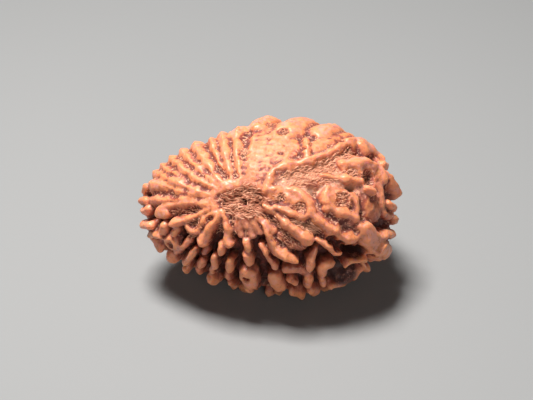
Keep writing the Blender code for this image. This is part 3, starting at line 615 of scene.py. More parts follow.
def ring_of(point, normal, side, half, top, skirt, look):
    """The cross-section of a ridge: a foot deep in the core, a skirt and a rounded crown."""
    depth = half * look["crown"]
    low = top - depth - SKIRT_DROP
    foot = max(look["foot"], skirt + 0.1)
    outline = [(-half * foot, -FOOT_DEPTH), (-half * skirt, low)]
    for share in CROWN_SHARES:
        outline.append((share * half, top - depth * abs(share) ** look["power"]))
    outline += [(half * skirt, low), (half * foot, -FOOT_DEPTH)]
    return [point + side * across + normal * up for across, up in outline]


def end_rings(point, normal, side, half, top, skirt, look, way):
    """The two smaller rings that round off an end of a ridge, from the middle outwards."""
    rings = []
    for reach, size in END_RINGS:
        low = top - half * look["crown"] * (1 - size)
        rings.append(ring_of(point + way * reach, normal, side, half * size, low, skirt, look))
    return rings


def add_ridge(mesh, shape, width, rise, course):
    """Lofts one ridge along its course, with both ends rounded."""
    look = dict(zip(SHAPE_FIELDS, SHAPES[shape]))
    frames = [on_shell(*station) for station in course]
    half_full = width * MILLIMETRE / 2
    total = sum((b[0] - a[0]).length for a, b in zip(frames, frames[1:]))
    rings = []
    walked = 0.0
    for index, (point, normal) in enumerate(frames):
        before = frames[max(index - 1, 0)][0]
        after = frames[min(index + 1, len(frames) - 1)][0]
        walked += (point - before).length
        along = (after - before).normalized()
        side = normal.cross(along).normalized()
        share = walked / total
        half = half_full * (look["start"] + (1 - look["start"]) * share ** WIDEN_POWER)
        half *= 1 + look["bulb"] * share ** BULB_POWER
        half *= 1 + SWELL * look["lump"] * noise.noise(point / LUMP_SIZE + SWELL_SHIFT)
        top = (rise + look["tip"] * share ** TIP_POWER - look["drop"] * (1 - share) ** 2) * MILLIMETRE
        top += LUMP * look["lump"] * noise.noise(point / LUMP_SIZE)
        if normal.z < 0:
            lowest = -FOOT_CUT if shape == "rest" else GROUND_GAP
            top = min(top, (point.z - lowest) / -normal.z)
        point = point + side * WANDER * noise.noise(point / LUMP_SIZE + WANDER_SHIFT)
        skirt = look["splay"] + (look["skirt"] - look["splay"]) * share
        overhang = along * half_full * look["nose"]
        if index == 0:
            rings += reversed(end_rings(point, normal, side, half, top, skirt, look, -overhang))
        rings.append(ring_of(point, normal, side, half, top, skirt, look))
        if index == len(frames) - 1:
            rings += end_rings(point, normal, side, half, top, skirt, look, overhang)
    loops = [[mesh.verts.new(place) for place in ring] for ring in rings]
    count = len(loops[0])
    for lower, upper in zip(loops, loops[1:]):
        for k in range(count):
            n = (k + 1) % count
            mesh.faces.new((lower[k], upper[k], upper[n], lower[n]))
    mesh.faces.new(loops[0])
    mesh.faces.new(reversed(loops[-1]))


def ring_round(bearing, reach, radius):
    """Corners of a closed ring of that radius in millimetres round a place on the shell."""
    here = on_shell(bearing, reach)[0]
    per_reach = (on_shell(bearing, reach + 1)[0] - here).length
    per_bearing = (on_shell(bearing + 1, reach)[0] - here).length
    corners = []
    for k in range(RING_CORNERS + 1):
        turn = math.tau * k / RING_CORNERS
        across = radius * MILLIMETRE * math.cos(turn) / per_bearing
        out = radius * MILLIMETRE * math.sin(turn) / per_reach
        corners.append((bearing + across, reach + out))
    return corners


def rim_round(pore_reach):
    """Corners of the rim round a pore, which is at reach 0 or 180."""
    corners = []
    for k in range(RIM_CORNERS + 1):
        bearing = 360 * k / RIM_CORNERS
        turn = math.radians(bearing)
        size = math.hypot(RIM_REACH_LONG * math.cos(turn), RIM_REACH_SHORT * math.sin(turn))
        corners.append((bearing, abs(pore_reach - size)))
    return corners


def rib_bearings():
    """Bearings of the hidden ribs, one rib pitch apart along the widest line of the stone."""
    bearings = []
    walked = 0.0
    for bearing in range(360):
        walked += (on_shell(bearing + 1, 90)[0] - on_shell(bearing, 90)[0]).length
        if walked >= RIB_PITCH:
            bearings.append(bearing)
            walked -= RIB_PITCH
    return bearings


def rib_start(bearing):
    """The reach at which the ribs begin at a bearing, and how low they keep there."""
    for (low, *before), (high, *after) in zip(RIB_STARTS, RIB_STARTS[1:]):
        if bearing < high:
            share = (bearing - low) / (high - low)
            return [a + (b - a) * share for a, b in zip(before, after)]


def hidden_ridges():
    """Knobs in ribs round the far flank, then crests that run in to the far pore."""
    chance = random.Random(SEED)
    ridges = []
    for bearing in rib_bearings():
        reach, low = rib_start(bearing)
        spine = [(bearing, reach), (bearing, RIB_SPINE_MIDDLE), (bearing, RIB_LAST_REACH)]
        ridges.append((*RIB_SPINE, spine))
        reach += chance.uniform(0, RIB_START_STRAY)
        while reach < RIB_LAST_REACH:
            length = chance.uniform(*KNOB_LENGTH)
            start = bearing + chance.uniform(-KNOB_STRAY, KNOB_STRAY)
            end = bearing + chance.uniform(-KNOB_STRAY, KNOB_STRAY)
            shape = chance.choice(KNOB_SHAPES)
            width = chance.uniform(*KNOB_WIDTH)
            rise = chance.uniform(*KNOB_RISE)
            if reach < LOW_RIB_REACH:
                rise -= low
            ridges.append((shape, width, rise, [(start, reach), (end, reach + length)]))
            reach += length + chance.uniform(*KNOB_GAP)
    for k in range(FAR_FAN_CRESTS):
        bearing = 360 * (k + chance.uniform(-FAR_FAN_STRAY, FAR_FAN_STRAY)) / FAR_FAN_CRESTS
        bend = chance.uniform(-FAR_FAN_BEND, FAR_FAN_BEND)
        first, last = FAR_FAN_REACH
        last += chance.uniform(-FAR_FAN_END_STRAY, FAR_FAN_END_STRAY)
        middle = (first + last) / 2
        course = [(bearing, first), (bearing + bend, middle), (bearing, last)]
        ridges.append(("club", chance.uniform(*FAR_FAN_WIDTH), chance.uniform(*FAR_FAN_RISE), course))
    return ridges


def pore_stubs(pore_reach):
    """Short fibres at all angles in the floor of a pore, which is at reach 0 or 180."""
    chance = random.Random(SEED + pore_reach)
    stubs = []
    for _ in range(STUB_COUNT):
        spot = chance.uniform(0, math.tau)
        away = STUB_SPREAD * math.sqrt(chance.random())
        turn = chance.uniform(0, math.tau)
        half = chance.uniform(*STUB_LENGTH) / 2
        course = []
        for step in range(-STUB_HALF_STEPS, STUB_HALF_STEPS + 1):
            across = away * math.cos(spot) + half * math.cos(turn) * step / STUB_HALF_STEPS
            up = away * math.sin(spot) + half * math.sin(turn) * step / STUB_HALF_STEPS
            bearing = math.degrees(math.atan2(up, across))
            course.append((bearing, abs(pore_reach - math.hypot(across, up))))
        stubs.append(("knob", chance.uniform(*STUB_WIDTH), chance.uniform(*STUB_RISE), course))
    return stubs


def all_ridges():
    """Every ridge of the stone as (shape, width, rise, course)."""
    ridges = FAN + LOWER_FLANK + BROAD_END + UPPER_LOBES + RESTS + hidden_ridges()
    for bearing, reach, radius, width, rise in PIT_RINGS:
        ridges.append(("crest", width, rise, ring_round(bearing, reach, radius)))
    for pore_reach in (0, 180):
        ridges.append(("crest", RIM_WIDTH, RIM_RISE, rim_round(pore_reach)))
    smoothed = [(shape, width, rise, smooth_course(corners)) for shape, width, rise, corners in ridges]
    return smoothed + pore_stubs(0) + pore_stubs(180)


def read_all(mesh, field):
    """A vector of every vertex of a mesh as an array."""
    flat = np.zeros(len(mesh.vertices) * 3)
    mesh.vertices.foreach_get(field, flat)
    return flat.reshape(-1, 3)


def write_places(mesh, places):
    """Moves every vertex of a mesh to its place in an array."""
    mesh.vertices.foreach_set("co", places.ravel())
    mesh.update()


def carve_pits(mesh):
    """Sinks the pits in the skin, each along the shell's normal there."""
    places = read_all(mesh, "co")
    for bearing, reach, radius, depth in PITS:
        point, normal = on_shell(bearing, reach)
        way = np.array(normal)
        off = places - np.array(point)
        along = off @ way
        across = np.sqrt(np.maximum((off * off).sum(1) - along * along, 0)) / (radius * MILLIMETRE)
        share = np.clip((1 - across) / PIT_WALL, 0, 1) * (np.abs(along) < PIT_SPAN)
        share = share * share * (3 - 2 * share)
        places -= way * (share * depth * MILLIMETRE)[:, None]
    write_places(mesh, places)


def shell_places(places):
    """How far under the shell each of an array of places lies, its bearing and its reach."""
    frame_of_shell = np.array(FRAME)
    local = (places - frame_of_shell[:3, 3]) @ frame_of_shell[:3, :3]
    lean = math.radians(PORE_LEAN)
    u = local[:, 0] / HALF_LENGTH
    girth = 1 + TAPER * u
    v = local[:, 1] / (HALF_WIDTH * girth)
    w = local[:, 2] / (HALF_DEPTH * girth)
    size = np.sqrt(u * u + v * v + w * w)
    slope = np.sqrt((u / HALF_LENGTH) ** 2 + (v / HALF_WIDTH / girth) ** 2 + (w / HALF_DEPTH / girth) ** 2)
    flat = u * math.cos(lean) + w * math.sin(lean)
    high = -u * math.sin(lean) + w * math.cos(lean)
    reach = np.degrees(np.arccos(np.clip(high / size, -1, 1)))
    return (1 - size) * size / slope, np.degrees(np.arctan2(v, flat)) % 360, reach


def pick_only(piece):
    """Selects one object and makes it active."""
    bpy.ops.object.select_all(action="DESELECT")
    piece.select_set(True)
    bpy.context.view_layer.objects.active = piece


def apply_all(piece):
    """Applies every modifier of a piece, in order."""
    pick_only(piece)
    for modifier in list(piece.modifiers):
        bpy.ops.object.modifier_apply(modifier=modifier.name)


def add_core():
    """The body under the ridges, whose surface is the floor of the furrows."""
    bpy.ops.object.select_all(action="DESELECT")
    bpy.ops.mesh.primitive_uv_sphere_add(segments=CORE_SEGMENTS, ring_count=CORE_RINGS, radius=HALF_WIDTH)
    core = bpy.context.object
    for vert in core.data.vertices:
        way = vert.co.normalized()
        bearing = math.degrees(math.atan2(way.y, way.x))
        reach = math.degrees(math.acos(max(-1.0, min(1.0, way.z))))
        point, normal = on_shell(bearing, reach)
        vert.co = point - normal * furrow_depth(bearing, reach)
    return core


def add_ridges():
    """All the ridges as one object, each a closed loft with its foot in the core."""
    mesh = bmesh.new()
    for ridge in all_ridges():
        add_ridge(mesh, *ridge)
    bmesh.ops.recalc_face_normals(mesh, faces=mesh.faces[:])
    data = bpy.data.meshes.new("ridges")
    mesh.to_mesh(data)
    mesh.free()
    ridges = bpy.data.objects.new("ridges", data)
    bpy.context.scene.collection.objects.link(ridges)
    return ridges


def drop_sealed_pockets(piece):
    """Deletes every skin but the largest, because crossing ridges can close a pocket off."""
    mesh = bmesh.new()
    mesh.from_mesh(piece.data)
    skins = []
    for seed in mesh.faces:
        if seed.tag:
            continue
        seed.tag = True
        skin = [seed]
        for face in skin:
            for edge in face.edges:
                for other in edge.link_faces:
                    if not other.tag:
                        other.tag = True
                        skin.append(other)
        skins.append(skin)
    skins.sort(key=len)
    pockets = [face for skin in skins[:-1] for face in skin]
    bmesh.ops.delete(mesh, geom=pockets, context="FACES")
    mesh.to_mesh(piece.data)
    mesh.free()


def relax(mesh, rounds):
    """Where each vertex goes when it moves to the middle of its neighbours for that many rounds."""
    count = len(mesh.vertices)
    ends = np.zeros(len(mesh.edges) * 2, dtype=np.int64)
    mesh.edges.foreach_get("vertices", ends)
    one, two = ends.reshape(-1, 2).T
    near = np.maximum(np.bincount(one, minlength=count) + np.bincount(two, minlength=count), 1)
    places = read_all(mesh, "co")
    for _ in range(rounds):
        total = []
        for column in places.T:
            pulled = np.bincount(one, column[two], minlength=count)
            total.append(pulled + np.bincount(two, column[one], minlength=count))
        places = np.stack(total, 1) / near[:, None]
    return places


def noise_at(places):
    """A smooth noise at every place of an array."""
    return np.array([noise.noise(Vector(place)) for place in places])


def noise_over(places, size, shift):
    """A noise of that size in millimetres at every place."""
    scale = 1 / (size * MILLIMETRE)
    return noise_at(places * scale + shift)


def streaks(bearing, reach, wide, long):
    """A noise drawn out along the furrows, of that width and length in millimetres."""
    turn = np.radians(bearing)
    girth = np.sin(np.radians(reach)) * STREAK_GIRTH
    along = reach * STREAK_PER_REACH / long
    return noise_at(np.stack([np.cos(turn) * girth / wide, np.sin(turn) * girth / wide, along], 1))


def in_sector(bearing, middle, least, gain):
    """How far a bearing is inside the sector round a middle one."""
    return np.clip((np.cos(np.radians(bearing - middle)) - least) * gain, 0, 1)


def in_span(share, reach, span):
    """A share, kept to a span of reach and faded at both its ends."""
    start, rise, end, fall = span
    return share * np.clip((reach - start) / rise, 0, 1) * np.clip((end - reach) / fall, 0, 1)


def broad_side(bearing, reach):
    """How far a place is on the upper broad side, where the skin is pitted all over."""
    return in_span(in_sector(bearing, *BROAD_SECTOR), reach, BROAD_SPAN)


def dusty_furrow(bearing, reach):
    """How far a place is in the broad furrow beside the great crest, which is full of pale residue."""
    return in_span(in_sector(bearing, *DUSTY_SECTOR), reach, DUSTY_SPAN)


def sunk_knobs(bearing, reach):
    """How much a place belongs to the knobs behind the fan, which all lie low."""
    return in_span(np.clip(SUNK_FULL - np.abs(bearing - SUNK_BEARING) / SUNK_FADE, 0, 1), reach, SUNK_SPAN)


def inside_openings(places):
    """How far each place lies inside one of the openings that are painted with shade."""
    inside = np.zeros(len(places))
    for x, y, z, radius in SHADED_OPENINGS:
        off = places / MILLIMETRE - np.array((x, y, z))
        away = np.sqrt((off * off).sum(1)) / radius
        inside = np.maximum(inside, np.clip((1 - away) / OPENING_EDGE, 0, 1))
    return inside


def weather(piece, sizes):
    """Roughens the skin: lumps on the crowns, fibrous streaks in the furrows and grain all over."""
    mesh = piece.data
    places = read_all(mesh, "co")
    normals = read_all(mesh, "normal")
    depth, bearing, reach = shell_places(places)
    deep = np.clip((depth - FURROW_FROM) / FURROW_OVER, 0, 1)
    broad = broad_side(bearing, reach)
    knot_high, knot_deeper = KNOT_HEIGHT
    grain_high, grain_deeper = GRAIN_HEIGHT
    moved = noise_over(places, *LUMP_NOISE) * LUMP_HEIGHT
    moved = moved + noise_over(places, *KNOT_NOISE) * (knot_high + knot_deeper * deep)
    moved *= 1 - BROAD_CALM * broad
    moved += noise_over(places, *GRAIN_NOISE) * (grain_high + grain_deeper * deep)
    moved += streaks(bearing, reach, *FURROW_STREAK) * FURROW_STREAK_HEIGHT * deep
    moved += streaks(bearing, reach, *BROAD_STREAK) * BROAD_STREAK_HEIGHT * broad
    write_places(mesh, places + normals * (moved * sizes.roughening)[:, None])


def cut_base(piece):
    """Cuts the tips of the three resting knobs level at Z = 0."""
    pick_only(piece)
    bpy.ops.object.mode_set(mode="EDIT")
    bpy.ops.mesh.select_all(action="SELECT")
    bpy.ops.mesh.bisect(plane_co=(0, 0, 0), plane_no=(0, 0, -1), use_fill=True, clear_outer=True,
                        threshold=CUT_THRESHOLD)
    bpy.ops.mesh.select_all(action="SELECT")
    bpy.ops.mesh.quads_convert_to_tris()
    bpy.ops.object.mode_set(mode="OBJECT")


def note(mesh, name, values):
    """Writes one value for each vertex as an attribute that the materials read."""
    layer = mesh.attributes.new(name, "FLOAT", "POINT")
    layer.data.foreach_set("value", np.clip(values, 0, 1).astype(np.float32))


def note_relief(piece):
    """Notes how deep each place lies, how much it stands out, how near a pore it is, the dusty furrow and the
    openings' painted shade.
    """
    mesh = piece.data
    places = read_all(mesh, "co")
    normals = read_all(mesh, "normal")
    depth, bearing, reach = shell_places(places)
    edge = ((places - relax(mesh, EDGE_ROUNDS)) * normals).sum(1)
    stand = ((places - relax(mesh, STAND_ROUNDS)) * normals).sum(1)
    depth = depth - SUNK_DEPTH * sunk_knobs(bearing, reach)
    note(mesh, "depth", (depth + DEPTH_ABOVE) / DEPTH_SPAN)
    note(mesh, "edge", 0.5 + edge / EDGE_SPAN)
    note(mesh, "stand", 0.5 + stand / STAND_SPAN)
    note(mesh, "pore", (PORE_END - np.minimum(reach, 180 - reach)) / PORE_FADE)
    note(mesh, "dust", dusty_furrow(bearing, reach))
    # Where the openings' painted shade goes.
    note(mesh, "gloom", inside_openings(places))


def skin_rays(stone):
    """A tree of the skin that answers where a ray meets it."""
    mesh = stone.data
    corners = [vert.co for vert in mesh.vertices]
    return BVHTree.FromPolygons(corners, [face.vertices for face in mesh.polygons])


def drop_onto(rays, bearing, reach):
    """Where the skin lies under a place of the shell, how deep, and the shell's normal there."""
    point, normal = on_shell(bearing, reach)
    start = point + normal * RAY_START
    hit = rays.ray_cast(start, -normal)[0]
    if hit is None:
        return None
    return hit, (point - hit).dot(normal), normal


def strand_course(rays, chance, bearing, reach, look):
    """Stations of one fibre over the skin with the normals there, or nothing where it would not lie."""
    step = chance.uniform(*look["length"]) * MILLIMETRE / DEGREE / (STRAND_RINGS - 1)
    heading = math.radians(chance.gauss(0, look["stray"]) + (0 if look["level"] else bearing))
    bend = math.radians(chance.gauss(0, STRAND_BEND)) / (STRAND_RINGS - 1)
    arch = chance.uniform(*look["arch"]) * MILLIMETRE
    lift = chance.uniform(*look["lift"]) * MILLIMETRE
    off_pore = min(reach, 180 - reach)
    across = off_pore * math.cos(math.radians(bearing))
    up = off_pore * math.sin(math.radians(bearing))
    stations = []
    for ring in range(STRAND_RINGS):
        off_pore = math.hypot(across, up)
        away = off_pore if reach < 90 else 180 - off_pore
        found = drop_onto(rays, math.degrees(math.atan2(up, across)), away)
        if found is None:
            return None
        hit, depth, normal = found
        if not look["depth"][0] <= depth / MILLIMETRE <= look["depth"][1]:
            return None
        if stations and abs(depth - before) > STEEPEST:
            return None
        before = depth
        stations.append((hit, normal))
        across += step * math.cos(heading)
        up += step * math.sin(heading)
        heading += bend
    first, last = stations[0][0], stations[-1][0]
    course = []
    for ring, (hit, normal) in enumerate(stations):
        share = ring / (STRAND_RINGS - 1)
        place = hit.lerp(first.lerp(last, share), look["taut"])
        course.append((place + normal * (lift + arch * math.sin(math.pi * share)), normal))
    return course


def model_strand():
    """One straight fibre of unit length and radius along Z, thinner at its ends."""
    bpy.ops.object.select_all(action="DESELECT")
    bpy.ops.mesh.primitive_cylinder_add(vertices=STRAND_SIDES, radius=1, depth=1, location=(0, 0, 0.5))
    strand = bpy.context.object
    bpy.ops.object.transform_apply(location=True)
    mesh = bmesh.new()
    mesh.from_mesh(strand.data)
    for ring in range(1, STRAND_RINGS - 1):
        height = ring / (STRAND_RINGS - 1)
        bmesh.ops.bisect_plane(mesh, geom=mesh.verts[:] + mesh.edges[:] + mesh.faces[:],
                               plane_co=(0, 0, height), plane_no=(0, 0, 1))
    for vert in mesh.verts:
        slim = 1 - STRAND_SLIM * (abs(vert.co.z - 0.5) * 2) ** 3
        vert.co.x *= slim
        vert.co.y *= slim
    mesh.to_mesh(strand.data)
    mesh.free()
    return strand


def lay_strands(name, courses):
    """Copies the fibre along every course and joins the copies in one piece."""
    strand = model_strand()
    shape = read_all(strand.data, "co")
    faces = [tuple(face.vertices) for face in strand.data.polygons]
    rings = np.rint(shape[:, 2] * (STRAND_RINGS - 1)).astype(int)
    verts, polygons, tints = [], [], []
    for radius, tint, course in courses:
        points = np.array([tuple(point) for point, normal in course])
        ups = np.array([tuple(normal) for point, normal in course])
        along = np.gradient(points, axis=0)
        sides = np.cross(ups, along)
        sides /= np.linalg.norm(sides, axis=1)[:, None]
        copy = points[rings] + radius * (sides[rings] * shape[:, :1] + ups[rings] * shape[:, 1:2])
        base = len(verts) * len(shape)
        verts.append(copy)
        polygons += [tuple(base + corner for corner in face) for face in faces]
        tints += [tint] * len(shape)
    bpy.data.objects.remove(strand)
    mesh = bpy.data.meshes.new(name)
    mesh.from_pydata(np.concatenate(verts).tolist(), [], polygons)
    mesh.update()
    note(mesh, "tint", np.array(tints))
    piece = bpy.data.objects.new(name, mesh)
    bpy.context.scene.collection.objects.link(piece)
    return piece


def scatter(rays, chance, look):
    """The radius, tint and course of each fibre inside the patches of a look."""
    courses = []
    for _ in range(look["tries"]):
        low_bearing, high_bearing, low_reach, high_reach = chance.choice(look["patches"])
        bearing = chance.uniform(low_bearing, high_bearing)
        even = chance.uniform(math.cos(math.radians(high_reach)), math.cos(math.radians(low_reach)))
        course = strand_course(rays, chance, bearing, math.degrees(math.acos(even)), look)
        if course is not None:
            radius = chance.uniform(*look["radii"]) * MILLIMETRE
            courses.append((radius, chance.uniform(*look["tints"]), course))
    return courses


def socket(tree, kind, name, way, default=None):
    """Adds an input or output to a node group."""
    made = tree.interface.new_socket(name, in_out=way, socket_type=kind)
    if default is not None:
        made.default_value = default


def add_node(tree, kind, place, **settings):
    """Adds a shader node and sets its fields."""
    node = tree.nodes.new(kind)
    node.location = place
    for name, value in settings.items():
        setattr(node, name, value)
    return node


def feed(tree, spot, value):
    """Links or sets an input, as the value is a socket or a plain one."""
    if isinstance(value, bpy.types.NodeSocket):
        tree.links.new(value, spot)
    else:
        spot.default_value = value


def mix_colours(tree, place, factor, first, second):
    """A mix of two colours."""
    node = add_node(tree, "ShaderNodeMix", place, data_type="RGBA")
    for spot, value in zip(MIX_INPUTS, (factor, first, second)):
        feed(tree, node.inputs[spot], value)
    return node.outputs[MIX_RESULT]


def calculate(tree, place, operation, *values):
    """The result of an operation on two or three values."""
    node = add_node(tree, "ShaderNodeMath", place, operation=operation)
    for spot, value in enumerate(values):
        feed(tree, node.inputs[spot], value)
    return node.outputs[0]


def product(tree, place, *values):
    """All the values multiplied, in their order."""
    total = values[0]
    for step, value in enumerate(values[1:]):
        total = calculate(tree, (place[0] + 150 * step, place[1]), "MULTIPLY", total, value)
    return total


def stretch(tree, place, value, low, high, to_low=0.0, to_high=1.0):
    """Maps a value's range onto another, smoothly and within its ends."""
    node = add_node(tree, "ShaderNodeMapRange", place, interpolation_type="SMOOTHSTEP")
    for spot, number in enumerate((value, low, high, to_low, to_high)):
        feed(tree, node.inputs[spot], number)
    return node.outputs[0]


def noise_of(tree, place, where, scale, detail, roughness):
    """A noise between 0 and 1 at a scale per metre."""
    node = add_node(tree, "ShaderNodeTexNoise", place)
    for name, value in (("Vector", where), ("Scale", scale), ("Detail", detail), ("Roughness", roughness)):
        feed(tree, node.inputs[name], value)
    return node.outputs["Fac"]


def mottle_group():
    """Uneven tone: patches, small specks and their relief, for the wood and the fibres alike."""
    tree = bpy.data.node_groups.new("wood_mottle", "ShaderNodeTree")
    for name, grey in (("Colour", 0.5), ("Light colour", 0.8), ("Dark colour", 0.1)):
        socket(tree, "NodeSocketColor", name, "INPUT", (grey, grey, grey, 1))
    for name in ("Patches", "Specks"):
        socket(tree, "NodeSocketFloat", name, "INPUT", 0.5)
    socket(tree, "NodeSocketColor", "Colour", "OUTPUT")
    socket(tree, "NodeSocketFloat", "Relief", "OUTPUT")
    start = add_node(tree, "NodeGroupInput", (-1200, 0))
    end = add_node(tree, "NodeGroupOutput", (600, 0))
    where = add_node(tree, "ShaderNodeTexCoord", (-1200, -400)).outputs["Object"]
    textures = {
        "Patches": noise_of(tree, (-900, -200), where, *PATCH_NOISE),
        "Specks": noise_of(tree, (-900, -500), where, *SPECK_NOISE),
    }
    tone = start.outputs["Colour"]
    for step, (amount, low, high, colour) in enumerate(MOTTLE_STEPS):
        share = stretch(tree, (-600, -300 * step), textures[amount], low, high)
        share = product(tree, (-400, -300 * step), share, start.outputs[amount])
        tone = mix_colours(tree, (200 * step - 200, 0), share, tone, start.outputs[colour])
    tree.links.new(tone, end.inputs["Colour"])
    tree.links.new(textures["Specks"], end.inputs["Relief"])
    return tree


def place_group(tree, group, place, **values):
    """Places a node group in a material and sets or links its inputs."""
    node = add_node(tree, "ShaderNodeGroup", place)
    node.node_tree = group
    for name, value in values.items():
        feed(tree, node.inputs[name.replace("_", " ").capitalize()], value)
    return node


def attribute(tree, place, name):
    """The value that a mesh attribute holds."""
    return add_node(tree, "ShaderNodeAttribute", place, attribute_name=name).outputs["Fac"]


def opaque(colour):
    """A colour with its alpha."""
    return tuple(colour) + (1.0,)


def new_material(name):
    """A material, with its node tree and its surface shader."""
    material = bpy.data.materials.new(name)
    material.use_nodes = True
    return material, material.node_tree, material.node_tree.nodes["Principled BSDF"]


def dress_surface(tree, surface, mottled, bump_place, strength, distance):
    """Gives a surface the colour of a mottle and its relief."""
    tree.links.new(mottled.outputs["Colour"], surface.inputs["Base Color"])
    bump = add_node(tree, "ShaderNodeBump", bump_place)
    bump.inputs["Strength"].default_value = strength
    bump.inputs["Distance"].default_value = distance
    tree.links.new(mottled.outputs["Relief"], bump.inputs["Height"])
    tree.links.new(bump.outputs["Normal"], surface.inputs["Normal"])


def warm_crown(tree, where, colours):
    """The crowns' colour, with warmer patches."""
    patches = noise_of(tree, (-1100, 700), where, *WARM_NOISE)
    warm = stretch(tree, (-900, 700), patches, *WARM_SHARE)
    return mix_colours(tree, (-700, 700), warm, opaque(colours.crown), opaque(colours.rim))


def crumb_mask(tree, where, pore, masks):
    """Where the pale crumbs lie: in the lee, off the deepest floors and out of the openings' painted shade,
    more towards the pores.
    """
    specks = noise_of(tree, (-1500, -2100), where, *CRUMB_NOISE)
    specks = stretch(tree, (-1300, -2100), specks, *CRUMB_SHARE)
    many = calculate(tree, (-1300, -2300), "MULTIPLY_ADD", pore, CRUMB_MORE, CRUMB_ALL_OVER)
    high = calculate(tree, (-1300, -2500), "SUBTRACT", 1.0, masks["low"])
    light = calculate(tree, (-1300, -2700), "SUBTRACT", 1.0, masks["dark"])
    many = product(tree, (-1100, -2300), many, high)
    return product(tree, (-900, -2100), specks, masks["in the lee"], many, light)


def wood_material(mottle, colours):
    """Burnished salmon crowns with orange rims, over maroon furrows with pale crumbs in them. The furrows,
    creases and the ridges' lower sides are darkened partly with painted shade, the openings wholly; the rims'
    orange is partly painted glow.
    """
    material, tree, surface = new_material("stone_wood")
    read = {}
    for row, name in enumerate(("depth", "edge", "stand", "pore", "dust", "gloom")):
        read[name] = attribute(tree, (-1800, 300 - 200 * row), name)
    where = add_node(tree, "ShaderNodeTexCoord", (-1800, -1100)).outputs["Object"]
    masks = {"dust": read["dust"]}
    for row, (name, (source, *ends)) in enumerate(MASKS.items()):
        masks[name] = stretch(tree, (-1500, 300 - 200 * row), read[source], *ends)
    masks["crumbs"] = crumb_mask(tree, where, read["pore"], masks)
    crown = warm_crown(tree, where, colours)
    tone = opaque(colours.flank)
    for step, (names, colour) in enumerate(COATS):
        share = product(tree, (-1000, 100 - 200 * step), *(masks[name] for name in names))
        coat = crown if colour == "crown" else opaque(getattr(colours, colour))
        tone = mix_colours(tree, (180 * step - 1500, 500), share, tone, coat)
    even = stretch(tree, (-300, 700), masks["low"], *MOTTLE_SHARE)
    mottled = place_group(tree, mottle, (200, 300), colour=tone, patches=even, specks=even,
                          light_colour=opaque(colours.crown), dark_colour=opaque(colours.furrow))
    surface.location = (500, 300)
    tree.nodes["Material Output"].location = (900, 300)
    dress_surface(tree, surface, mottled, (200, -100), *WOOD_BUMP)
    tree.links.new(stretch(tree, (200, -400), read["stand"], *POLISH), surface.inputs["Roughness"])
    for name, value in WOOD_FINISH.items():
        surface.inputs[name].default_value = value
    return material


def fibre_material(mottle, colours):
    """Dry straw-coloured plant fibre."""
    material, tree, surface = new_material("dry_fibre")
    tint = attribute(tree, (-600, 300), "tint")
    tone = mix_colours(tree, (-400, 300), tint, opaque(colours.fibre), opaque(colours.crumb))
    mottled = place_group(tree, mottle, (-200, 300), colour=tone, patches=FIBRE_PATCHES, specks=FIBRE_SPECKS,
                          light_colour=opaque(colours.crumb), dark_colour=opaque(colours.furrow))
    dress_surface(tree, surface, mottled, (-200, -100), *FIBRE_BUMP)
    surface.inputs["Roughness"].default_value = FIBRE_ROUGHNESS
    return material


def colour_choice(name, description, default):
    """A colour that a user can change."""
    return FloatVectorProperty(name=name, description=description, default=default, subtype="COLOR", size=3)


class StoneSizes(bpy.types.PropertyGroup):
    """Sizes of the stone."""

    roughening: FloatProperty(name="Roughening", description="Strength of the lumps and grain on the skin",
                              default=1.0, min=0.0, max=2.0)


class StoneColours(bpy.types.PropertyGroup):
    """Colours of the stone."""

    crown: colour_choice("Crowns", "Burnished tops of the ridges", (0.79, 0.315, 0.222))
    # Partly the sides' own darker colour, partly painted shade on them.
    flank: colour_choice("Flanks", "Sides of the ridges", (0.33, 0.070, 0.038))
    # Partly the wood's own orange, partly painted glow of light through thin edges.
    rim: colour_choice("Rims", "Sharp edges and tips, partly painted glow", (0.78, 0.270, 0.090))
    # Partly the furrows' own dark residue, partly painted shade in the hollows.
    furrow: colour_choice("Furrows", "Hollows between the ridges", (0.19, 0.037, 0.024))
    # Painted shade in creases and openings, and partly the dark residue of the deepest floors.
    floor: colour_choice("Deepest", "Creases and the deepest floors", (0.045, 0.011, 0.008))
    fibre: colour_choice("Fibres", "Darker fibres in the pores and furrows", (0.43, 0.125, 0.055))
    crumb: colour_choice("Crumbs", "Pale dry residue in the furrows", (0.86, 0.44, 0.27))


class StageLook(bpy.types.PropertyGroup):
    """The floor and the lights."""

    floor: colour_choice("Floor", "Colour of the plain floor", (0.26, 0.258, 0.253))
    key: FloatProperty(name="Key light", description="Power of the soft light above", default=1.42)
    fill: FloatProperty(name="Fill light", description="Power of the light beside the camera", default=0.13)
    sky: FloatProperty(name="Surround", description="Strength of the even light from all round", default=0.04)


class STONE_OT_skin(bpy.types.Operator):
    """Carve the stone's ridges, weather its skin and colour it"""

    bl_idname = "stone.skin"
    bl_label = "Carve the stone"

    def execute(self, context):
        sizes = context.scene.stone_sizes
        core = add_core()
        ridges = add_ridges()
        pick_only(core)
        ridges.select_set(True)
        bpy.ops.object.join()
        stone = context.object
        stone.name = "stone_skin"
        fuse = stone.modifiers.new("Fuse", "REMESH")
        fuse.mode = "VOXEL"
        fuse.voxel_size = FINE_VOXEL
        apply_all(stone)
        drop_sealed_pockets(stone)
        carve_pits(stone.data)
        weather(stone, sizes)
        soften = stone.modifiers.new("Soften", "SMOOTH")
        soften.factor = SOFTEN_FACTOR
        soften.iterations = FINE_SMOOTH_ROUNDS
        thin = stone.modifiers.new("Thin", "DECIMATE")
        thin.ratio = SKIN_TRIANGLES / (2 * len(stone.data.polygons))
        apply_all(stone)
        cut_base(stone)
        note_relief(stone)
        stone.data.shade_smooth()
        stone.data.materials.clear()
        stone.data.materials.append(wood_material(mottle_group(), context.scene.stone_colours))
        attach(stone, "root")
        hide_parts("stone")
        return {"FINISHED"}


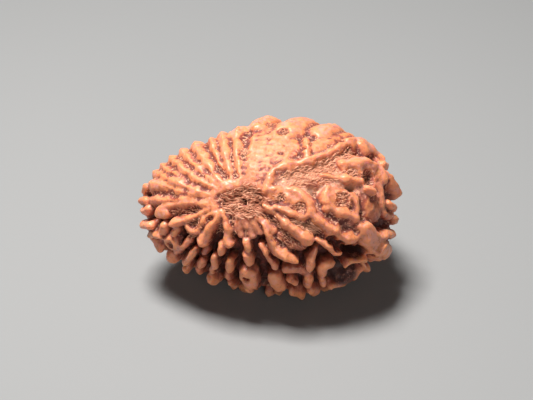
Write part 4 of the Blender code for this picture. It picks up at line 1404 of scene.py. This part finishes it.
def add_fibres(name, looks, seed, colours):
    """Scatters fibres over the skin by several looks, as one piece that rides with it."""
    chance = random.Random(seed)
    rays = skin_rays(bpy.data.objects["stone_skin"])
    courses = []
    for fields in looks:
        courses += scatter(rays, chance, dict(zip(FIBRE_FIELDS, fields)))
    piece = lay_strands(name, courses)
    mottle = bpy.data.node_groups["wood_mottle"]
    piece.data.materials.append(fibre_material(mottle, colours))
    piece.data.shade_smooth()
    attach(piece, "root")


class STONE_OT_pore_fibres(bpy.types.Operator):
    """Lay the mat of fibres in both pores"""

    bl_idname = "stone.pore_fibres"
    bl_label = "Fill the pores"

    def execute(self, context):
        add_fibres("pore_fibres", PORE_LOOKS, SEED + 1, context.scene.stone_colours)
        return {"FINISHED"}


class STONE_OT_furrow_fibres(bpy.types.Operator):
    """Lay the loose fibres in the furrows"""

    bl_idname = "stone.furrow_fibres"
    bl_label = "Line the furrows"

    def execute(self, context):
        add_fibres("furrow_fibres", FURROW_LOOKS, SEED + 2, context.scene.stone_colours)
        return {"FINISHED"}


def soft_light(name, place, power):
    """A square area light that points at the middle of the stone."""
    light = bpy.data.objects.new(name, bpy.data.lights.new(name, "AREA"))
    light.data.size = LIGHT_SIZE
    light.data.energy = power
    light.location = place
    light.rotation_mode = "QUATERNION"
    light.rotation_quaternion = (CENTRE - Vector(place)).to_track_quat("-Z", "Y")
    bpy.context.scene.collection.objects.link(light)


class STONE_OT_stage(bpy.types.Operator):
    """Set the floor, the lights and the camera"""

    bl_idname = "stone.stage"
    bl_label = "Set the stage"

    def execute(self, context):
        look = context.scene.stage_look
        bpy.ops.object.select_all(action="DESELECT")
        bpy.ops.mesh.primitive_plane_add(size=FLOOR_SIZE)
        floor = context.object
        floor.name = "floor"
        paint, _, surface = new_material("floor_paint")
        surface.inputs["Base Color"].default_value = opaque(look.floor)
        surface.inputs["Roughness"].default_value = FLOOR_ROUGHNESS
        floor.data.materials.append(paint)
        soft_light("key", KEY_PLACE, look.key)
        soft_light("fill", FILL_PLACE, look.fill)
        world = bpy.data.worlds.new("surround")
        context.scene.world = world
        world.use_nodes = True
        surround = world.node_tree.nodes["Background"]
        surround.inputs["Color"].default_value = SKY_COLOUR
        surround.inputs["Strength"].default_value = look.sky
        place_camera()
        context.scene.view_settings.view_transform = "Standard"
        return {"FINISHED"}


def place_camera():
    """Sets the camera at the photograph's viewing angle."""
    camera = bpy.data.objects.new("camera", bpy.data.cameras.new("camera"))
    bpy.context.scene.collection.objects.link(camera)
    camera.data.lens = CAMERA_LENS
    camera.data.sensor_width = CAMERA_FILM
    camera.data.clip_start = CAMERA_NEAREST
    lift = math.radians(CAMERA_LIFT)
    back = Vector((0, -math.cos(lift), math.sin(lift)))
    above = Vector((0, math.sin(lift), math.cos(lift)))
    aim = Vector((-AIM_LEFT, 0, CENTRE.z)) + above * AIM_ABOVE
    camera.location = aim + back * CAMERA_REACH
    camera.rotation_mode = "QUATERNION"
    camera.rotation_quaternion = (-back).to_track_quat("-Z", "Y")
    bpy.context.scene.camera = camera


class STONE_PT_panel(bpy.types.Panel):
    """Lists the steps in the sidebar"""

    bl_label = "Stone"
    bl_idname = "STONE_PT_panel"
    bl_space_type = "VIEW_3D"
    bl_region_type = "UI"
    bl_category = "Stone"

    def draw(self, context):
        for step in STEPS:
            self.layout.operator(step)
        for group in (context.scene.stone_sizes, context.scene.stone_colours, context.scene.stage_look):
            for name in group.__annotations__:
                self.layout.prop(group, name)


STEPS = ("stone.skin", "stone.pore_fibres", "stone.furrow_fibres", "stone.stage")
CLASSES = (StoneSizes, StoneColours, StageLook, STONE_OT_skin, STONE_OT_pore_fibres, STONE_OT_furrow_fibres,
           STONE_OT_stage, STONE_PT_panel)


def register():
    for kind in CLASSES:
        bpy.utils.register_class(kind)
    bpy.types.Scene.stone_sizes = PointerProperty(type=StoneSizes)
    bpy.types.Scene.stone_colours = PointerProperty(type=StoneColours)
    bpy.types.Scene.stage_look = PointerProperty(type=StageLook)


def unregister():
    del bpy.types.Scene.stage_look
    del bpy.types.Scene.stone_colours
    del bpy.types.Scene.stone_sizes
    for kind in reversed(CLASSES):
        bpy.utils.unregister_class(kind)


def main():
    register()
    bpy.ops.stone.skin()
    bpy.ops.stone.pore_fibres()
    bpy.ops.stone.furrow_fibres()
    bpy.ops.stone.stage()


if __name__ == "__main__":
    main()
